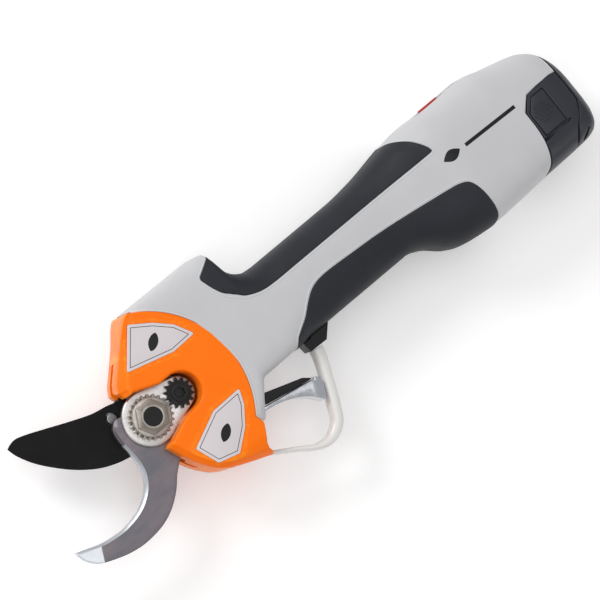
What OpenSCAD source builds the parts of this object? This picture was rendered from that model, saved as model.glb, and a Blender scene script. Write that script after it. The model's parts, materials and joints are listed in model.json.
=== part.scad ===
// Battery electric pruner, lying on its side. Every part is drawn about the blade pivot:
// +X runs down the handle to the battery, +Y is the thumb side, +Z is the axis of the pivot,
// and Z = 0 is the plane in which the two blades cut. place() then moves the whole tool so
// that its own origin is the middle of the underside of its bounding box.

/* [Body] */
// Half thickness of the head
head_half = 15.5; // [15.2:0.1:16.5]
// Half thickness of the handle round the motor
handle_half = 18; // [17.8:0.1:19]
// Half thickness of the battery housing
pack_half = 25.5; // [25:0.1:25.8]
// Wall of the two grey shells
wall = 3; // [2.6:0.1:3.2]
// Thickness of the soft grips
grip_t = 1.5; // [1:0.1:1.6]

/* [Blades] */
// Angle that the moving blade closes through
blade_swing = 54; // [40:1:54]
// Thickness of the moving blade
blade_t = 4; // [3.5:0.1:4]
// Thickness of the hooked anvil blade
anvil_t = 5.2; // [4.8:0.1:5.2]
// Width of the ground bevel on the moving blade
blade_bevel = 6; // [3:0.5:7]
// Width of the bevel along the hook
anvil_bevel = 1.4; // [0.5:0.1:1.6]

/* [Pivot] */
// Radius of the pivot bolt's shank
bolt_r = 5; // [4.6:0.1:5]
// Radius of the bolt's threaded end
thread_r = 4.2; // [4:0.1:4.3]
// Width across the flats of the pivot nut
nut_flats = 14.2; // [13:0.1:15]
// Teeth round the pivot nut's flange
nut_teeth = 24; // [24]
// Teeth on the lock gear
lock_teeth = 14; // [14]
// Distance from the pivot to the lock gear
lock_x = 16.6; // [16.5:0.1:16.8]

/* [Bevel drive] */
// Module of the bevel teeth at their outer end
bevel_module = 1.2; // [1.2]
// Teeth that a full bevel wheel would have
wheel_teeth = 60; // [60]
// Teeth on the bevel pinion
pinion_teeth = 12; // [12]
// Radius where the bevel teeth begin
face_in = 28; // [27:0.5:29]
// Pressure angle of all the teeth
pressure = 25; // [25]

/* [Gearbox and motor] */
// Module of the planetary stage
planet_module = 0.5; // [0.5]
// Teeth on the sun wheel and on each planet
planet_teeth = 15; // [15]
// Outer radius of the ring gear
ring_r = 13.6; // [13.2:0.1:13.8]
// Outer radius of the motor can
motor_r = 14; // [13.6:0.1:14]
// Length of the motor can
motor_len = 46; // [40:1:48]

/* [Battery] */
// Radius of one cell
cell_r = 9.1; // [9:0.1:9.2]
// Length of one cell
cell_len = 65; // [60:1:65]
// Travel of a latch button
latch_travel = 1.8; // [1:0.1:1.9]

/* [Controls] */
// Half width of the trigger
trigger_half = 6; // [5:0.5:6]
// Travel of the power button
button_travel = 1; // [0.6:0.1:1.1]

/* [Hidden] */
$fn = 48;
// Place of the pivot in the tool's own frame
pivot_at = [-90.3, 9.1, 25.5];
// Gap between neighbouring parts that do not move
gap = 0.1;
// Radial clearance of a running fit
run = 0.04;
// Radius and centre of the arc where the orange covers meet the grey shells
border_r = 47.6;
border_x = -2;
// Half width of the trigger slot
slot_half = trigger_half + 0.5;
// Centre of the lock gear, and its direction from the pivot
lock_at = [lock_x, 0.4];
lock_turn = atan2(lock_at[1], lock_at[0]);
lock_r = 7;
// Trigger hinge
hinge_at = [40.5, -26.5];
hinge_r = 1.5;
// Opening for the switch panel on the back of the battery housing
switch_x = [182, 207];
switch_half = 5.2;
// Rear edge of the grey shells above the battery, and end of the tool
shell_end = 238.1;
tool_end = 244;
// Battery pack block: X range, Y range and half thickness
pack_x = [168.2, 232];
pack_y = [-26, 12.6];
pack_z = 20.6;
pack_mid = -6.7;
// The pack's electronics bay on its back: how far up and how far along it reaches
skirt_end = 238.2;
// Front faces of the gearbox and the motor
gearbox_x = 57;
motor_x = 80;
// Bevel wheel sizes that follow from the teeth
face_out = bevel_module * wheel_teeth / 2;
pinion_r = bevel_module * pinion_teeth / 2;
addendum = 0.8;
dedendum = 1;
backlash = 0.12;
pitch_step = 360 / wheel_teeth;
carrier_r = planet_module * planet_teeth;
// Screws that join the two shells, the two covers, the anvil, the blade and its gear
shell_screw_at = [[35, 36.5], [56, 34], [136.5, 15.2], [160, -23.5], [158, 18.5]];
cover_screw_at = [[12, 30], [14, -33]];
anvil_screw_at = [[5, -20], [6, 21]];
blade_screw_at = [[8.7, 3.2], [0, -9.3]];
drive_pin_at = [-12.1, 10];

// Silhouette of the tool's back edge, its finger edge, half thickness and squareness along X
back_edge = [[18, 42.6], [59, 41.6], [62.6, 40.4], [64, 37], [65.5, 30], [69.5, 25], [75, 22.2],
    [82, 21.5], [125, 21.5], [138, 22.4], [165, 26.5], [175, 27.3], [186, 26.8], [207, 27.2],
    [217, 24.7], [227, 22.2], [233, 20.2], [237, 17], [240, 12.5], [242.5, 6], [243.6, 0],
    [tool_end, -5]];
finger_edge = [[18, -33], [39.5, -33.2], [49.7, -19.6], [51.5, -18.4], [75, -18.4], [80, -17.9],
    [137, -17.9], [146, -20.8], [155, -27.7], [161, -30.5], [170, -31.9], [178, -32.5],
    [213, -31.2], [228, -30.7], [235, -30], [240, -27], [242.8, -21], [243.7, -14], [tool_end, -9]];
half_thickness = [[18, head_half], [45, head_half], [58, 17.2], [80, handle_half],
    [138, handle_half], [162, 22.5], [180, pack_half], [232, pack_half], [238, 24.3], [241, 21.5],
    [243, 17], [tool_end, 11]];
squareness = [[18, 8], [56, 7], [80, 3], [140, 3], [180, 4], [tool_end, 4]];
// Borders of the grips on the face, and the stepped rear edge of the shells
upper_border = [[58, 22], [66, 14.6], [73, 12], [81, 11], [172, 11]];
lower_border = [[76, -12.6], [81, -9.3], [86, -5], [91, -1.5], [97, 0.2], [104, 0.3], [131, -1.5],
    [151, -4], [166, -5.9], [173, -7.4], [177, -10.5], [179, -20]];
step_edge = [[206, -33], [207, -31], [211, -27.5], [213.6, -20], [214.6, -12], [214.8, -2.5],
    [220.7, 3.6], [tool_end, 3.9]];
upper_grip_x = [66, 168];
lower_grip_x = [78, 176];

// Smooth monotone curve through knots [x, value]
function secant(k, i) = (k[i + 1][1] - k[i][1]) / (k[i + 1][0] - k[i][0]);
function tangent(k, i) =
    i == 0 ? secant(k, 0)
    : i == len(k) - 1 ? secant(k, len(k) - 2)
    : secant(k, i - 1) * secant(k, i) <= 0 ? 0
    : 2 * secant(k, i - 1) * secant(k, i) / (secant(k, i - 1) + secant(k, i));
function span_of(k, x) = max([for (j = [0 : len(k) - 2]) j == 0 || x >= k[j][0] ? j : 0]);
function curve(k, x) =
    let (i = span_of(k, x), w = k[i + 1][0] - k[i][0], t = min(max((x - k[i][0]) / w, 0), 1))
    (2 * t ^ 3 - 3 * t ^ 2 + 1) * k[i][1] + (t ^ 3 - 2 * t ^ 2 + t) * w * tangent(k, i)
    + (3 * t ^ 2 - 2 * t ^ 3) * k[i + 1][1] + (t ^ 3 - t ^ 2) * w * tangent(k, i + 1);

// Points along an arc, and along a smooth line through hand-placed points
function arc(c, r, from, to, n) =
    [for (i = [0 : n]) let (a = from + (to - from) * i / n) [c[0] + r * cos(a), c[1] + r * sin(a)]];
function bend(a, b, c, d, t) =
    0.5 * (2 * b + (c - a) * t + (2 * a - 5 * b + 4 * c - d) * t ^ 2
    + (3 * b - a - 3 * c + d) * t ^ 3);
function smooth(p, n) =
    [for (i = [0 : len(p) - 2], s = [0 : n - 1])
        bend(p[max(i - 1, 0)], p[i], p[i + 1], p[min(i + 2, len(p) - 1)], s / n), p[len(p) - 1]];

// Left-hand unit normal at point i of an open line
function normal(p, i) =
    let (d = p[min(i + 1, len(p) - 1)] - p[max(i - 1, 0)]) [-d[1], d[0]] / norm(d);

// Section of the tool at x: centre and half height, less an inset
function mid_y(x) = (curve(back_edge, x) + curve(finger_edge, x)) / 2;
function half_y(x) = (curve(back_edge, x) - curve(finger_edge, x)) / 2;
function rounded(v, p) = sign(v) * abs(v) ^ (2 / p);
function skin(x, phi, d) =
    let (p = curve(squareness, x))
    [x, mid_y(x) + (half_y(x) - d) * rounded(sin(phi), p),
     (curve(half_thickness, x) - d) * rounded(cos(phi), p)];
// Height of the skin over a point of the seam plane
function skin_z(x, y) =
    let (p = curve(squareness, x), v = min(abs(y - mid_y(x)) / half_y(x), 1))
    curve(half_thickness, x) * (1 - v ^ p) ^ (1 / p);
// Angle round the section at which the skin has a given y, or a given z
function phi_y(x, y) =
    let (v = min(max((y - mid_y(x)) / half_y(x), -1), 1))
    asin(sign(v) * abs(v) ^ (curve(squareness, x) / 2));
function phi_z(x, z) = acos((z / curve(half_thickness, x)) ^ (curve(squareness, x) / 2));

// Closed solid through rings of equal length, each ring an outer line and then an inner line back
module loft(rings) {
    n = len(rings[0]);
    m = len(rings);
    points = [for (r = rings, q = r) q];
    sides = [for (i = [0 : m - 2], j = [0 : n - 1])
        let (a = i * n + j, b = i * n + (j + 1) % n, c = a + n, d = b + n)
        each [[a, b, c], [b, d, c]]];
    ends = [for (j = [0 : n / 2 - 2])
        let (a = j, b = j + 1, c = n - 2 - j, d = n - 1 - j, e = (m - 1) * n)
        each [[a, c, b], [a, d, c], [e + a, e + b, e + c], [e + a, e + c, e + d]]];
    polyhedron(points, concat(sides, ends));
}

// Solid through two or more layers with the same number of points, closed by flat ends
module stack(layers) {
    n = len(layers[0]);
    m = len(layers);
    polyhedron([for (l = layers, p = l) p], concat(
        [for (i = [0 : m - 2], j = [0 : n - 1])
            let (a = i * n + j, b = i * n + (j + 1) % n) each [[a, a + n, b], [b, a + n, b + n]]],
        [[for (j = [0 : n - 1]) j], [for (j = [n - 1 : -1 : 0]) (m - 1) * n + j]]));
}

// Values from a to b in n steps
function steps(a, b, n) = [for (i = [0 : n]) a + (b - a) * i / n];

module place() translate(pivot_at) children();
// Extrusion along Z from z0 to z1 of a shape in XY, and along X of a shape in YZ
module slab(z0, z1) translate([0, 0, z0]) linear_extrude(z1 - z0) children();
module bar(x0, x1) translate([x0, 0, 0]) rotate([90, 0, 90]) linear_extrude(x1 - x0) children();
module peg(at, r, z0, z1) translate([at[0], at[1], z0]) cylinder(r = r, h = z1 - z0);
module shaft(r, x0, x1) translate([x0, 0, 0]) rotate([0, 90, 0]) cylinder(r = r, h = x1 - x0);
module box(low, high) translate(low) cube(high - low);
module left_side() mirror([0, 0, 1]) children();

// ---- Shells -------------------------------------------------------------------------------

// Stations along X where the shells change: pairs sit either side of a step
shell_x = [18, 46, 49.7, 51.6, 57, 61, 63.4, 64.6, 65.9, 66.1, 69, 72, 75, 77.9, 78.1, 81, 84, 87,
    90, 93.5, 97, 112, 128, 133, 138, 142, 146, 150, 154, 157.5, 161, 164.5, 167.9, 168.1,
    172, 175.9, 176.1, 181.9, 182.1, 193, 206.8, 207.2, 210, 213.4, 214.5, 214.9, 218, 221, 228, 233,
    shell_end];
function in_range(x, r) = x > r[0] && x < r[1];
// The front of the shells follows the covers' arc, and straightens out by this x
straight_x = 51.6;
function fitted_x(x, y) =
    x >= straight_x ? x
    : let (w = (straight_x - x) / (straight_x - shell_x[0]))
        x * (1 - w) + w * (border_x + sqrt(border_r ^ 2 - min(abs(y), 46) ^ 2));
function shell_low(x) =
    x > step_edge[0][0] ? phi_y(x, curve(step_edge, x))
    : x < 51.7 ? -phi_z(x, slot_half) : -90;
function shell_high(x) = in_range(x, switch_x) ? phi_z(x, switch_half) : 90;
// Skin samples round the section, with a pair at each grip border: [phi, inset]
function shell_line(x) =
    let (lo = shell_low(x), hi = shell_high(x),
        up = min(max(phi_y(x, curve(upper_border, x)), lo + 3), hi - 3),
        low_phi = min(max(phi_y(x, curve(lower_border, x)), lo + 1), up - 2),
        du = in_range(x, upper_grip_x) ? grip_t + 2 * gap : 0,
        dl = in_range(x, lower_grip_x) ? grip_t + 2 * gap : 0)
    concat([for (a = steps(lo, low_phi, 5)) [a, dl]],
        [for (y = steps(skin(x, low_phi + 0.8, 0)[1], skin(x, up - 0.8, 0)[1], 5)) [phi_y(x, y), 0]],
        [for (a = steps(up, hi, 5)) [a, du]]);
function lifted(p) = [p[0], p[1], max(p[2], gap / 2)];
function bent(x, p) = lifted([fitted_x(x, p[1]), p[1], p[2]]);
function shell_ring(x) =
    let (line = shell_line(x))
    concat([for (s = line) bent(x, skin(x, s[0], s[1]))],
        [for (i = [len(line) - 1 : -1 : 0]) bent(x, skin(x, line[i][0], wall))]);

boss_r = 3.9;
function boss_top(x, y) = min(skin_z(x - boss_r, y), skin_z(x + boss_r, y));
module shell_half() {
    loft([for (x = shell_x) shell_ring(x)]);
    for (s = shell_screw_at)
        peg(s, boss_r, gap, boss_top(s[0], s[1] + sign(s[1]) * boss_r) - grip_t - 1);
    peg(hinge_at, 2.4, slot_half + gap, head_half - 2);
}
// Path of the pack through the shells
module pack_path() bar(pack_x[0] - 1, shell_end + 1)
    round_box([pack_y[0] - 0.3, -pack_z - 0.3], [pack_y[1] + 0.3, pack_z + 0.3], 9.5);
module right_shell() color("gainsboro") place() difference() {
    shell_half();
    pack_path();
    for (s = shell_screw_at)
        peg(s, 1.25, -1, 9);
    peg(hinge_at, hinge_r + gap, 0, 11.2);
}
module left_shell() color("gainsboro") place() left_side() difference() {
    shell_half();
    pack_path();
    for (s = shell_screw_at) {
        peg(s, 1.75, -1, 40);
        peg(s, 3, 6, 40);
    }
    peg(hinge_at, hinge_r + gap, 0, 11.2);
}

// Soft grips: strips of the skin between a border and the seam
function grip_ring(x, from, to) =
    let (a = steps(from, to, 5))
    concat([for (p = a) lifted(skin(x, p, 0))], [for (i = [5 : -1 : 0]) lifted(skin(x, a[i], grip_t))]);
module grip_strip(range, upper) {
    xs = concat([range[0] + 0.3], [for (x = shell_x) if (in_range(x, range + [0.3, -0.3])) x],
        [range[1] - 0.3]);
    loft([for (x = xs)
        upper ? grip_ring(x, phi_y(x, curve(upper_border, x)) + 3.5, 90)
        : grip_ring(x, -90, phi_y(x, curve(lower_border, x)) - 3.5)]);
}
grip_grey = [0.17, 0.18, 0.21];
module right_upper_grip() color(grip_grey) place() grip_strip(upper_grip_x, true);
module left_upper_grip() color(grip_grey) place() left_side() grip_strip(upper_grip_x, true);
module right_lower_grip() color(grip_grey) place() grip_strip(lower_grip_x, false);
module left_lower_grip() color(grip_grey) place() left_side() grip_strip(lower_grip_x, false);

// ---- Head covers ---------------------------------------------------------------------------

// Outer edge, from the arc over the thumb side, down the front and round the tail
cover_outline = concat(arc([border_x, 0], border_r - 0.7, -43.8, 60, 24),
    [[19.8, 41.4], [18.2, 40.9], [15, 38.7], [5, 29], [-2.8, 21.3], [-5.3, 17.4], [-4.6, 15],
    [-3.2, 13.4], [-3.2, -14], [-1.2, -20.5], [-0.4, -22.6], [2.2, -27.7], [5.2, -32.4],
    [9.2, -36.8], [13.2, -39.4], [25, -44.4], [32.7, -47.3], [33.7, -46.4], [33.2, -42.9],
    [34.4, -41], [38.4, -34.3], [32, -33.7]]);
cover_hollow = concat(arc([border_x, 0], border_r - 2.9, -40, 56, 20),
    [[21.5, 39.9], [17.5, 38], [7, 27.8], [-0.6, 20.4], [-2, 16], [-2, -14.6], [1.2, -22],
    [7, -31.5], [10.6, -35], [25, -41.6], [29.5, -41], [31.5, -36]]);
// Opening round the pivot nut and the lock gear, grown by a wall w
function pocket(w) = concat([[-12, -13.6 - w], [0.2, -13.4 - w], [11.2 + w / 2, -9 - w]],
    arc(lock_at, 8.8 + w, -90, 86, 12),
    [[11.2 + w / 2, 9.2 + w], [0.2, 13.5 + w], [-12, 13.6 + w]]);
// The covers thin out towards their back edge and their tail
function cover_section(d) = [[-50, -2], [-50, 8.5 - d], [-40, 12.5 - d], [-34, head_half - d],
    [34, head_half - d], [43, 11.5 - d], [45, -2]];
blade_sweep = concat([[0, 0]], arc([0, 0], 30, 95, 285, 24));

module cover_half() {
    intersection() {
        difference() {
            slab(gap, head_half) polygon(cover_outline);
            intersection() {
                slab(-1, head_half) polygon(cover_hollow);
                bar(-20, 60) polygon(cover_section(2.2));
            }
        }
        bar(-20, 60) polygon(cover_section(0));
    }
    for (s = cover_screw_at)
        peg(s, 2.8, gap, head_half - 2);
}
// Room in a cover for the gear case's nose, the trigger's hinge, the anvil's screws and a label
module cover_cuts() {
    shaft(12.2, 39, 60);
    peg(hinge_at, 3.5, -1, slot_half);
    for (s = anvil_screw_at)
        peg(s, 3.6, -1, anvil_t + 3.2);
    slab(head_half - label_t - 0.15, head_half + 1) label_shapes(0.1);
}
module right_head_cover() color([1, 0.45, 0.05]) place() difference() {
    union() {
        cover_half();
        slab(anvil_t + 0.3, head_half - 2) intersection() {
            polygon(cover_outline);
            difference() {
                polygon(pocket(1.6));
                polygon(pocket(0));
            }
        }
    }
    slab(anvil_t + 0.3, head_half + 1) polygon(pocket(0));
    slab(-1, anvil_t + 0.3) polygon(anvil_clearance);
    plate_shape(0.15, anvil_t - 1, anvil_t + 2.3);
    cover_cuts();
    for (s = cover_screw_at)
        peg(s, 1.05, -1, 9);
}
module left_head_cover() color([1, 0.45, 0.05]) place() left_side() difference() {
    cover_half();
    peg([0, 0], 15.2, -1, 30);
    slab(-1, head_half + 1) polygon([[-20, -15.2], [0, -15.2], [0, 15.2], [-20, 15.2]]);
    slab(-1, blade_t + 0.4) polygon(blade_sweep);
    cover_cuts();
    for (s = cover_screw_at) {
        peg(s, 1.3, -1, 30);
        peg(s, 2.4, 10, 30);
    }
}

label_t = 0.5;
upper_label = [[16.5, 38.4], [3.2, 22.3], [25, 16.2], [37.4, 16.6], [32.6, 25.1], [25.8, 31.9]];
lower_label = [[5, -22.6], [22, -14.9], [37.4, -14.5], [34.6, -21.3], [28.6, -29.2],
    [20.4, -34.4], [10.2, -33.6]];
// The two labels grown by w and kept to the flat of the cover
module label_shapes(w) intersection() {
    union() {
        offset(delta = w) polygon(upper_label);
        offset(delta = w) polygon(lower_label);
    }
    translate([-10, -33.8 - w]) square([60, 67.6 + 2 * w]);
}
module labels() slab(head_half - label_t - 0.1, head_half - 0.1) label_shapes(0);
module right_labels() color("gainsboro") place() labels();
module left_labels() color("gainsboro") place() left_side() labels();

// ---- Guard ---------------------------------------------------------------------------------

// Middle line of the guard strap from the cover's tail round to its rear post
guard_line = smooth([[33.95, -46.9], [44, -53], [51.5, -57.8], [58.5, -59], [65.5, -55.6], [70, -48],
    [74.5, -38], [78.3, -29], [79.6, -24.7]], 5);
function guard_width(i) = 2.8 + 3.6 * (i / (len(guard_line) - 1)) ^ 1.6;
function guard_side(s) =
    [for (i = [0 : len(guard_line) - 1]) guard_line[i] + s * guard_width(i) / 2 * normal(guard_line, i)];
function backwards(p) = [for (i = [len(p) - 1 : -1 : 0]) p[i]];
module trigger_guard() color([0.84, 0.83, 0.82]) place() slab(-4.2, 4.2)
    polygon(concat(guard_side(-1), backwards(guard_side(1))));
module guard_bracket() color([0.1, 0.1, 0.11]) place() slab(-6, 6)
    polygon([[75.2, -18.6], [75.7, -23.5], [84.8, -23.8], [90.3, -18.1], [80, -18.1], [79, -18.6]]);

// ---- Blades --------------------------------------------------------------------------------

blade_edge = smooth([[-57, 29], [-55.6, 24], [-51.5, 16.6], [-45, 8.7], [-38, 2], [-30, -3.5],
    [-22, -6.8], [-14, -8.6]], 3);
blade_back = smooth([[-1.2, 13.95], [-5.5, 14.4], [-10, 15.7], [-18, 17.4], [-28, 21.2],
    [-38, 25.4], [-46, 28.7], [-51, 30.2], [-55, 29.8]], 2);
blade_tail = arc([0, 0], 14, 224, 448, 18);
// The cutting edge is close to an arc about this point, so its bevel is part of a cone
bevel_centre = [-14, 35];
bevel_r = 41.4;
module moving_blade() color([0.09, 0.09, 0.1]) place() difference() {
    slab(-blade_t, 0) polygon(concat(blade_edge, blade_tail, blade_back));
    translate(bevel_centre) rotate([0, 0, 182]) rotate_extrude(angle = 78)
        polygon([[bevel_r - blade_bevel, -blade_t - 0.1], [bevel_r + 15, -blade_t - 0.1],
            [bevel_r + 15, -0.5], [bevel_r, -0.5]]);
    peg([0, 0], bushing_r + 0.01, -9, 9);
    peg(drive_pin_at, 2.31, -9, 9);
    for (s = blade_screw_at)
        peg(s, 1.6, -9, 9);
}
module blade_drive_pin() color([0.5, 0.5, 0.5]) place() peg(drive_pin_at, 2.3, -7, -0.03);
module blade_screws() color([0.35, 0.35, 0.37]) place()
    for (s = blade_screw_at) {
        peg(s, 1.5, -9, -1.5);
        peg(s, 1.55, -1.5, -0.1);
    }

// The hook: its inner cutting line, the root under the cover, and its outer line
anvil_inner = smooth([[-63.4, -24.6], [-58.2, -26.4], [-51.2, -28.8], [-42.5, -30],
    [-36, -29.6], [-29.2, -27.9], [-23.2, -24.4], [-19.2, -20], [-17, -14.8], [-16.6, -8],
    [-17.1, 0], [-16.4, 5.6], [-13.2, 8.9]], 3);
anvil_outer = smooth([[-1, -22.6], [-6.2, -26.9], [-11.2, -32.1], [-18.2, -37.1], [-26.2, -40.1],
    [-36.2, -41.1], [-44.2, -40.1], [-51.2, -38], [-57.2, -35.4], [-60.3, -32.6],
    [-62.4, -29.2]], 2);
// The plate's tail, hidden in the head: round the pivot, out to its two screws and back
anvil_tail = concat(arc([0, 0], 12.5, 138, 100, 5), [[1, 18.5], [2.5, 24], [8.5, 24.5], [12.5, 20],
    [14, 10], [14, -12], [10.5, -22.8]]);
anvil_clearance = concat([for (p = backwards(anvil_inner)) p - [0.4, 0]],
    [[-64, -26], [-62, -33], [-50, -40], [-36, -42], [-26, -41], [-17, -38], [-9, -32.5],
    [-4.5, -27.5], [0, -23.6], [11, -23.6], [14.5, -12], [14.5, 10.5], [13, 20.4], [8.8, 25],
    [2, 24.5], [0.4, 18.5], [-3, 14.2], [-13, 9.5]]);
// The hook's inner line is close to an arc about this point, so its bevel is a cone too
hook_centre = [-41, -6];
hook_r = 24.6;
module anvil_blade() color([0.52, 0.51, 0.53]) place() difference() {
    slab(gap, anvil_t)
        polygon(concat(backwards(anvil_tail), backwards(anvil_inner), backwards(anvil_outer)));
    translate([hook_centre[0], hook_centre[1], anvil_t - 1])
        cylinder(h = 1.2, r1 = hook_r, r2 = hook_r + 1.2 * anvil_bevel, $fn = 96);
    peg([0, 0], bolt_r + run, -9, 9);
    for (s = anvil_screw_at)
        peg(s, 2.05, -9, 9);
}
module anvil_screws() color([0.3, 0.3, 0.32]) place()
    for (s = anvil_screw_at) {
        peg(s, 1.95, -7, anvil_t + gap);
        difference() {
            peg(s, 3.4, anvil_t + gap, anvil_t + 3);
            translate([s[0], s[1], anvil_t + 1.5]) cylinder(r = 1.8, h = 3, $fn = 6);
        }
    }

// ---- Pivot ---------------------------------------------------------------------------------

bushing_r = 6.5;
wheel_floor = -11;
case_floor = -11.5;
case_under = -13.2;
module pivot_bolt() color([0.13, 0.13, 0.14]) place() {
    difference() {
        peg([0, 0], 8.4, case_under - 3.2, case_under - 0.02);
        translate([0, 0, case_under - 4]) cylinder(r = 3.5, h = 2.8, $fn = 6);
    }
    peg([0, 0], bolt_r, case_under - 0.02, anvil_t);
    peg([0, 0], thread_r, anvil_t, 14.2);
}
module thrust_washer() color("silver") place() difference() {
    peg([0, 0], 10.5, case_floor + 0.02, wheel_floor - 0.05);
    peg([0, 0], bolt_r + 0.1, -20, 0);
}
module pivot_bushing() color([0.8, 0.6, 0.3]) place() difference() {
    peg([0, 0], bushing_r, wheel_floor, -0.05);
    peg([0, 0], bolt_r + run, -20, 2);
}
// Teardrop round the pivot and the lock gear, grown by w
module plate_shape(w, z0, z1) {
    peg([0, 0], 12.85 + w, z0, z1);
    slab(z0, z1) polygon([[3, -12.4 - w], [3, 12.4 + w], [lock_x + 2.3, 8 + w],
        [lock_x + 2.3, -7.2 - w]]);
    peg(lock_at, 7.9 + w, z0, z1);
}
module pivot_plate() color([0.7, 0.68, 0.68]) place() difference() {
    plate_shape(0, anvil_t + gap, anvil_t + 2.1);
    peg([0, 0], thread_r + gap, 0, 20);
    peg(lock_at, 2.2, 0, 20);
}
// Rounded gear outline with straight-sided teeth, whose tips are this share of a pitch wide
function rim_points(n, r, depth, tip) =
    [for (i = [0 : n - 1], s = [[-0.34, 0], [-tip / 2, 1], [tip / 2, 1], [0.34, 0]])
        let (a = 360 * (i + s[0]) / n, q = r - depth * (1 - s[1])) [q * cos(a), q * sin(a)]];
module pivot_nut() color([0.52, 0.48, 0.44]) place() difference() {
    union() {
        slab(anvil_t + 2.2, anvil_t + 5.3) rotate([0, 0, lock_turn])
            polygon(rim_points(nut_teeth, 10.4, 1, 0.3));
        translate([0, 0, anvil_t + 5]) cylinder(r = nut_flats / sqrt(3), h = 3.3, $fn = 6);
    }
    peg([0, 0], thread_r + 0.02, 0, 20);
}
module lock_gear() color([0.1, 0.1, 0.11]) place() difference() {
    union() {
        translate([lock_at[0], lock_at[1], anvil_t + 2.2]) linear_extrude(3.1)
            rotate([0, 0, 180 / lock_teeth + lock_turn])
                polygon(rim_points(lock_teeth, lock_r, 1.4, 0.16));
        peg(lock_at, 4, anvil_t + 5, anvil_t + 6.6);
        peg(lock_at, 2.1, anvil_t + gap, anvil_t + 3);
    }
    translate([lock_at[0], lock_at[1], anvil_t + 4]) cylinder(r = 2.5, h = 4, $fn = 6);
}

// ---- Gear case and bevel drive --------------------------------------------------------------

case_outline = concat(arc([0, 0], 42.6, -52, 51, 20),
    [[13.8, 33.1], [5.2, 24.6], [0.8, 19.8], [-0.4, 15.6], [-0.8, 14.9]],
    arc([0, 0], 15, 112, 235, 10), [[-0.8, -14.9], [-0.3, -15.8], [3, -23], [8.5, -32], [12, -33.6]]);
// Space swept by the toothed sector, and by the round hub and the blade in front
sector_sweep = concat([[0, 0]], arc([0, 0], 38, -66, 68, 24));
module gear_case() color([0.62, 0.63, 0.65]) place() difference() {
    union() {
        slab(case_under, -0.2) polygon(case_outline);
        for (s = anvil_screw_at)
            peg(s, 3, case_floor, -0.2);
        shaft(12, 39.5, 55);
    }
    slab(case_floor, 1) polygon(sector_sweep);
    peg([0, 0], 15.3, case_floor, 1);
    slab(case_floor, 1) polygon([[0, -15.3], [0, 15.3], [-30, 18], [-30, -18]]);
    slab(-blade_t - 0.4, 1) polygon(blade_sweep);
    box([20, -12.2, 0], [39.4, 12.2, 14]);
    shaft(9.6, 20, 39.6);
    shaft(5.2, 39, 56);
    shaft(bearing_r + 0.01, 41, 60);
    peg([0, 0], bolt_r + gap, -20, 0);
    for (s = anvil_screw_at)
        peg(s, 1.96, -8, 1);
    for (s = cover_screw_at)
        peg(s, 3, -20, 1);
}
bearing_r = 8.5;
module output_bearings() color("silver") place()
    for (x = [41.2, 48.6]) {
        difference() {
            shaft(bearing_r, x, x + 6);
            shaft(bearing_r - 1.2, x - 1, x + 7);
        }
        difference() {
            shaft(bearing_r - 2.4, x, x + 6);
            shaft(4 + run, x - 1, x + 7);
        }
        for (i = [0 : 8])
            rotate([40 * i, 0, 0]) translate([x + 3, bearing_r - 1.8, 0]) sphere(r = 0.62, $fn = 20);
    }

// One straight bevel tooth of the sector: every size shrinks towards the pivot
tooth_half = (PI * bevel_module / 2 - backlash) / 4;
function tooth_row(r) =
    let (s = r / face_out, tip = addendum * bevel_module, root = dedendum * bevel_module + 0.25)
    [for (q = [[-1, -root], [1, -root], [1, tip], [-1, tip]])
        [r, q[0] * (2 * tooth_half - q[1] * tan(pressure)) * s, (q[1] - pinion_r) * s]];
module bevel_tooth() polyhedron(concat(tooth_row(face_in), tooth_row(face_out)),
    [[0, 1, 2, 3], [7, 6, 5, 4], [0, 4, 5, 1], [1, 5, 6, 2], [2, 6, 7, 3], [3, 7, 4, 0]]);
sector_from = -blade_swing - 7;
sector_to = 9;
root_slope = (pinion_r + dedendum * bevel_module) / face_out;
module sector_gear() color([0.4, 0.4, 0.42]) place() difference() {
    union() {
        rotate([0, 0, sector_from]) rotate_extrude(angle = sector_to - sector_from, $fn = 90)
            polygon([[8, wheel_floor], [36.6, wheel_floor], [36.6, -36.6 * root_slope],
                [27.6, -27.6 * root_slope], [25, -8.8], [8, -8.8]]);
        peg([0, 0], 12, wheel_floor, -blade_t - 0.02);
        peg(drive_pin_at, 3.8, -7, -blade_t - 0.02);
        slab(-7, -blade_t - 0.02) polygon([[-2, 11], [-11, 13.6], [-15, 7.6], [-11, -2]]);
        for (a = [ceil(sector_from / pitch_step) : 1])
            rotate([0, 0, a * pitch_step]) bevel_tooth();
    }
    peg([0, 0], bushing_r + 0.01, -20, 2);
    peg(drive_pin_at, 2.31, -9, 9);
    for (s = blade_screw_at)
        peg(s, 1.51, -9.2, 2);
}

// Involute tooth outline: flank points from root to tip and back, tooth by tooth
function roll(r, base) = let (a = acos(min(base / r, 1))) tan(a) * 180 / PI - a;
function wheel_points(n, m, up, down, thick) =
    let (r = n * m / 2, base = r * cos(pressure), half = thick / r * 90 / PI + roll(r, base),
        flank = steps(r - down, r + up, 4))
    [for (i = [0 : n - 1], s = [-1, 1], k = [0 : 4])
        let (q = flank[s < 0 ? k : 4 - k], a = 360 * i / n + s * (half - roll(max(q, base), base)))
        [q * cos(a), q * sin(a)]];

module bevel_pinion() color([0.5, 0.5, 0.52]) place() {
    translate([face_out, 0, 0]) rotate([90, 0, -90]) rotate([0, 0, 180 / pinion_teeth])
        linear_extrude(face_out - face_in, scale = face_in / face_out)
            polygon(wheel_points(pinion_teeth, bevel_module, addendum * bevel_module,
                dedendum * bevel_module, PI * bevel_module / 2 - backlash));
    shaft(5, face_out, face_out + 2.6);
    shaft(4, face_out + 2, gearbox_x + 1.9);
}

// ---- Planetary stage and motor --------------------------------------------------------------

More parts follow.
